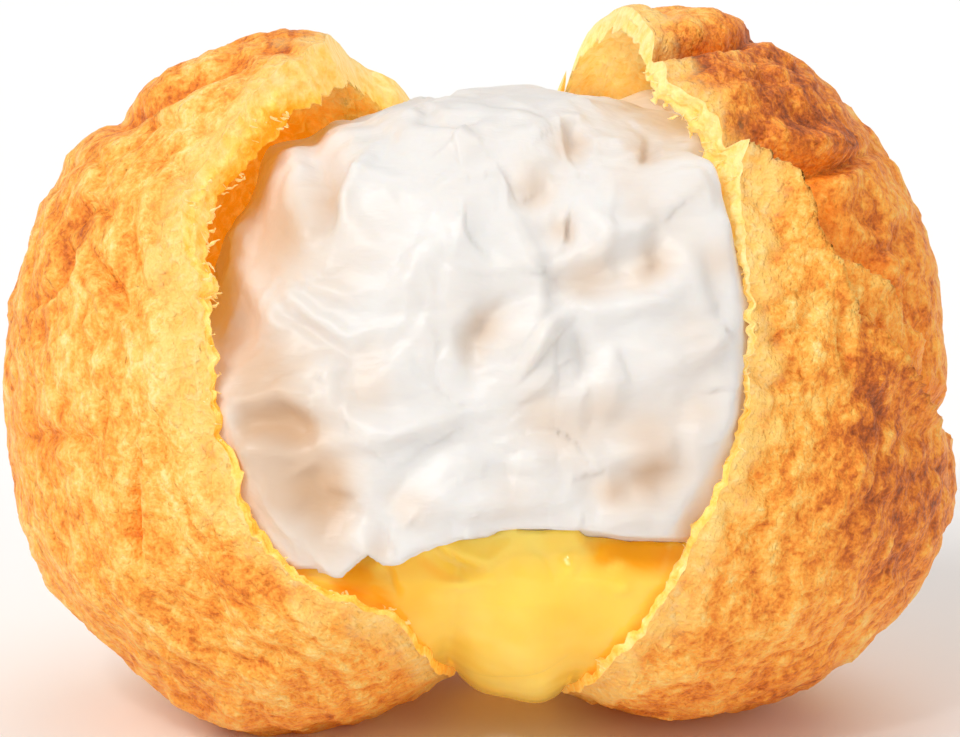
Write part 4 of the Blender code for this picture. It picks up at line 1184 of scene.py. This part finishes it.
def crumb_material():
    n = Nodes("torn_crumb")
    specks = n.noise(1.3 * MM, 3.0, 0.62)
    # Painted shade: the crumb turns a darker orange deeper in the hollow and in the gap, on top of its baked tone
    # and specks.
    depth = n.math("ADD", n.math("MULTIPLY", n.value("deep"), 0.62), n.ranged(specks, 0.32, 0.68, -0.18, 0.26))
    depth = n.math("ADD", depth, n.math("MULTIPLY", n.value("torn"), 0.08))
    # Painted shade: darker in the holes.
    depth = n.math("ADD", depth, n.math("MULTIPLY", n.value("hole"), 0.12), clamp=True)
    n.set("Base Color", n.ramp(depth, (
        (0.0, (255, 226, 156)), (0.25, (255, 216, 134)), (0.5, (255, 202, 100)), (0.75, (250, 178, 56)),
        (1.0, (236, 150, 20)),
    )))
    # Painted glow: the crumb gives off light everywhere, more deeper in the hollow and in the gap, and more where
    # light comes through the crests.
    n.set("Emission Color", n.ramp(depth, ((0.0, (255, 212, 128)), (0.6, (252, 188, 78)), (1.0, (240, 156, 20)))))
    through = n.math("MULTIPLY", n.value("backlit"), 0.30)
    n.set("Emission Strength", n.math("ADD", n.ranged(n.value("deep"), 0.0, 1.2, 0.19, 0.42), through))
    n.set("Roughness", 0.55)
    n.set("Specular IOR Level", 0.2)
    n.set("Subsurface Weight", 0.35)
    n.set("Subsurface Radius", (1.0, 0.62, 0.25))
    n.set("Subsurface Scale", 2.5 * MM)
    n.set("Normal", n.bump(specks, 0.58 * MM, 0.9))
    return n.material


def cream_material():
    n = Nodes("whipped_cream_surface")
    drift = n.noise(16.0 * MM, 2.0, 0.5)
    # Painted shade: beige in the hollows of the folds; the warm places add the warm painted shadow and glow.
    tint = n.math("ADD", n.ranged(drift, 0.3, 0.7, 0.0, 0.12), n.math("MULTIPLY", n.value("hollow"), 0.22))
    tint = n.math("ADD", tint, n.math("MULTIPLY", n.value("warm"), 0.7), clamp=True)
    n.set("Base Color", n.ramp(tint, ((0.0, (230, 228, 226)), (0.4, (227, 212, 198)), (1.0, (212, 176, 142)))))
    n.set("Roughness", 0.40)
    n.set("Specular IOR Level", 0.4)
    n.set("Subsurface Weight", 0.30)
    n.set("Subsurface Radius", (1.0, 0.75, 0.52))
    n.set("Subsurface Scale", 1.6 * MM)
    streaks = n.noise(2.6 * MM, 3.0, 0.55, 0.0, n.stretched((0.4, 1.0, 1.3)))
    n.set("Normal", n.bump(streaks, 0.34 * MM, 0.6))
    return n.material


def custard_material():
    n = Nodes("glossy_custard")
    drift = n.noise(9.0 * MM, 2.0, 0.5)
    body = n.ramp(drift, ((0.3, (255, 206, 66)), (0.5, (255, 214, 84)), (0.7, (255, 224, 104))))
    # Painted shade: deeper orange in the pockets and under the cream's lip.
    n.set("Base Color", n.mix(n.value("pocket"), body, (246, 162, 0)))
    # Painted glow: the custard gives off a little orange light.
    n.set("Emission Color", (1.0, 0.55, 0.07, 1.0))
    n.set("Emission Strength", 0.10)
    n.set("Roughness", 0.12)
    n.set("Specular IOR Level", n.ranged(n.value("pocket"), 0.0, 1.0, 0.55, 0.12))
    n.set("Subsurface Weight", 0.35)
    n.set("Subsurface Radius", (1.0, 0.55, 0.12))
    n.set("Subsurface Scale", 3.0 * MM)
    n.set("Normal", n.bump(n.noise(5.0 * MM, 1.0, 0.5), 0.35 * MM, 0.5))
    return n.material


def sun(name, across, rise, strength, width, colour):
    """A wide soft light from far away: degrees to the right of the front, degrees up, and its width in degrees."""
    data = bpy.data.lights.new(name, "SUN")
    data.energy = strength
    data.angle = math.radians(width)
    data.color = colour
    lamp = bpy.data.objects.new(name, data)
    turn = math.radians(across)
    up = math.radians(rise)
    place = Vector((math.cos(up) * math.sin(turn), -math.cos(up) * math.cos(turn), math.sin(up)))
    lamp.rotation_euler = (-place).to_track_quat("-Z", "Y").to_euler()
    lamp.location = place
    bpy.context.scene.collection.objects.link(lamp)


def studio():
    sun("key", *KEY)
    sun("glint", *GLINT)
    sun("top", *TOP)
    sun("front", *FRONT)
    world = bpy.data.worlds.new("soft_room")
    world.use_nodes = True
    world.node_tree.nodes["Background"].inputs["Color"].default_value = (1.0, 1.0, 1.0, 1.0)
    world.node_tree.nodes["Background"].inputs["Strength"].default_value = SKY
    bpy.context.scene.world = world


def floor():
    mesh = bpy.data.meshes.new("studio_floor")
    work = bmesh.new()
    bmesh.ops.create_grid(work, x_segments=1, y_segments=1, size=6.0)
    work.to_mesh(mesh)
    work.free()
    made = bpy.data.objects.new("studio_floor", mesh)
    bpy.context.scene.collection.objects.link(made)
    n = Nodes("pale_floor")
    n.set("Base Color", (0.92, 0.92, 0.92, 1.0))
    n.set("Roughness", 0.9)
    mesh.materials.append(n.material)


def camera():
    data = bpy.data.cameras.new("camera")
    data.sensor_width = SENSOR
    data.lens = SENSOR * CAMERA_DISTANCE / (SHEET_SIZE[0] * PITCH)
    data.clip_end = 50.0
    made = bpy.data.objects.new("camera", data)
    middle = Vector(stand(np.zeros((1, 3)))[0])
    back = Vector((0.0, -math.cos(SHEET_TILT), math.sin(SHEET_TILT)))
    made.location = middle + back * CAMERA_DISTANCE
    made.rotation_euler = (-back).to_track_quat("-Z", "Y").to_euler()
    bpy.context.scene.collection.objects.link(made)
    bpy.context.scene.camera = made


def main():
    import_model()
    crust(crust_material())
    torn = crumb_material()
    crumb(torn)
    shreds(torn)
    cream(cream_material())
    custard(custard_material())
    studio()
    floor()
    camera()
    bpy.context.scene.view_settings.view_transform = "Standard"


main()
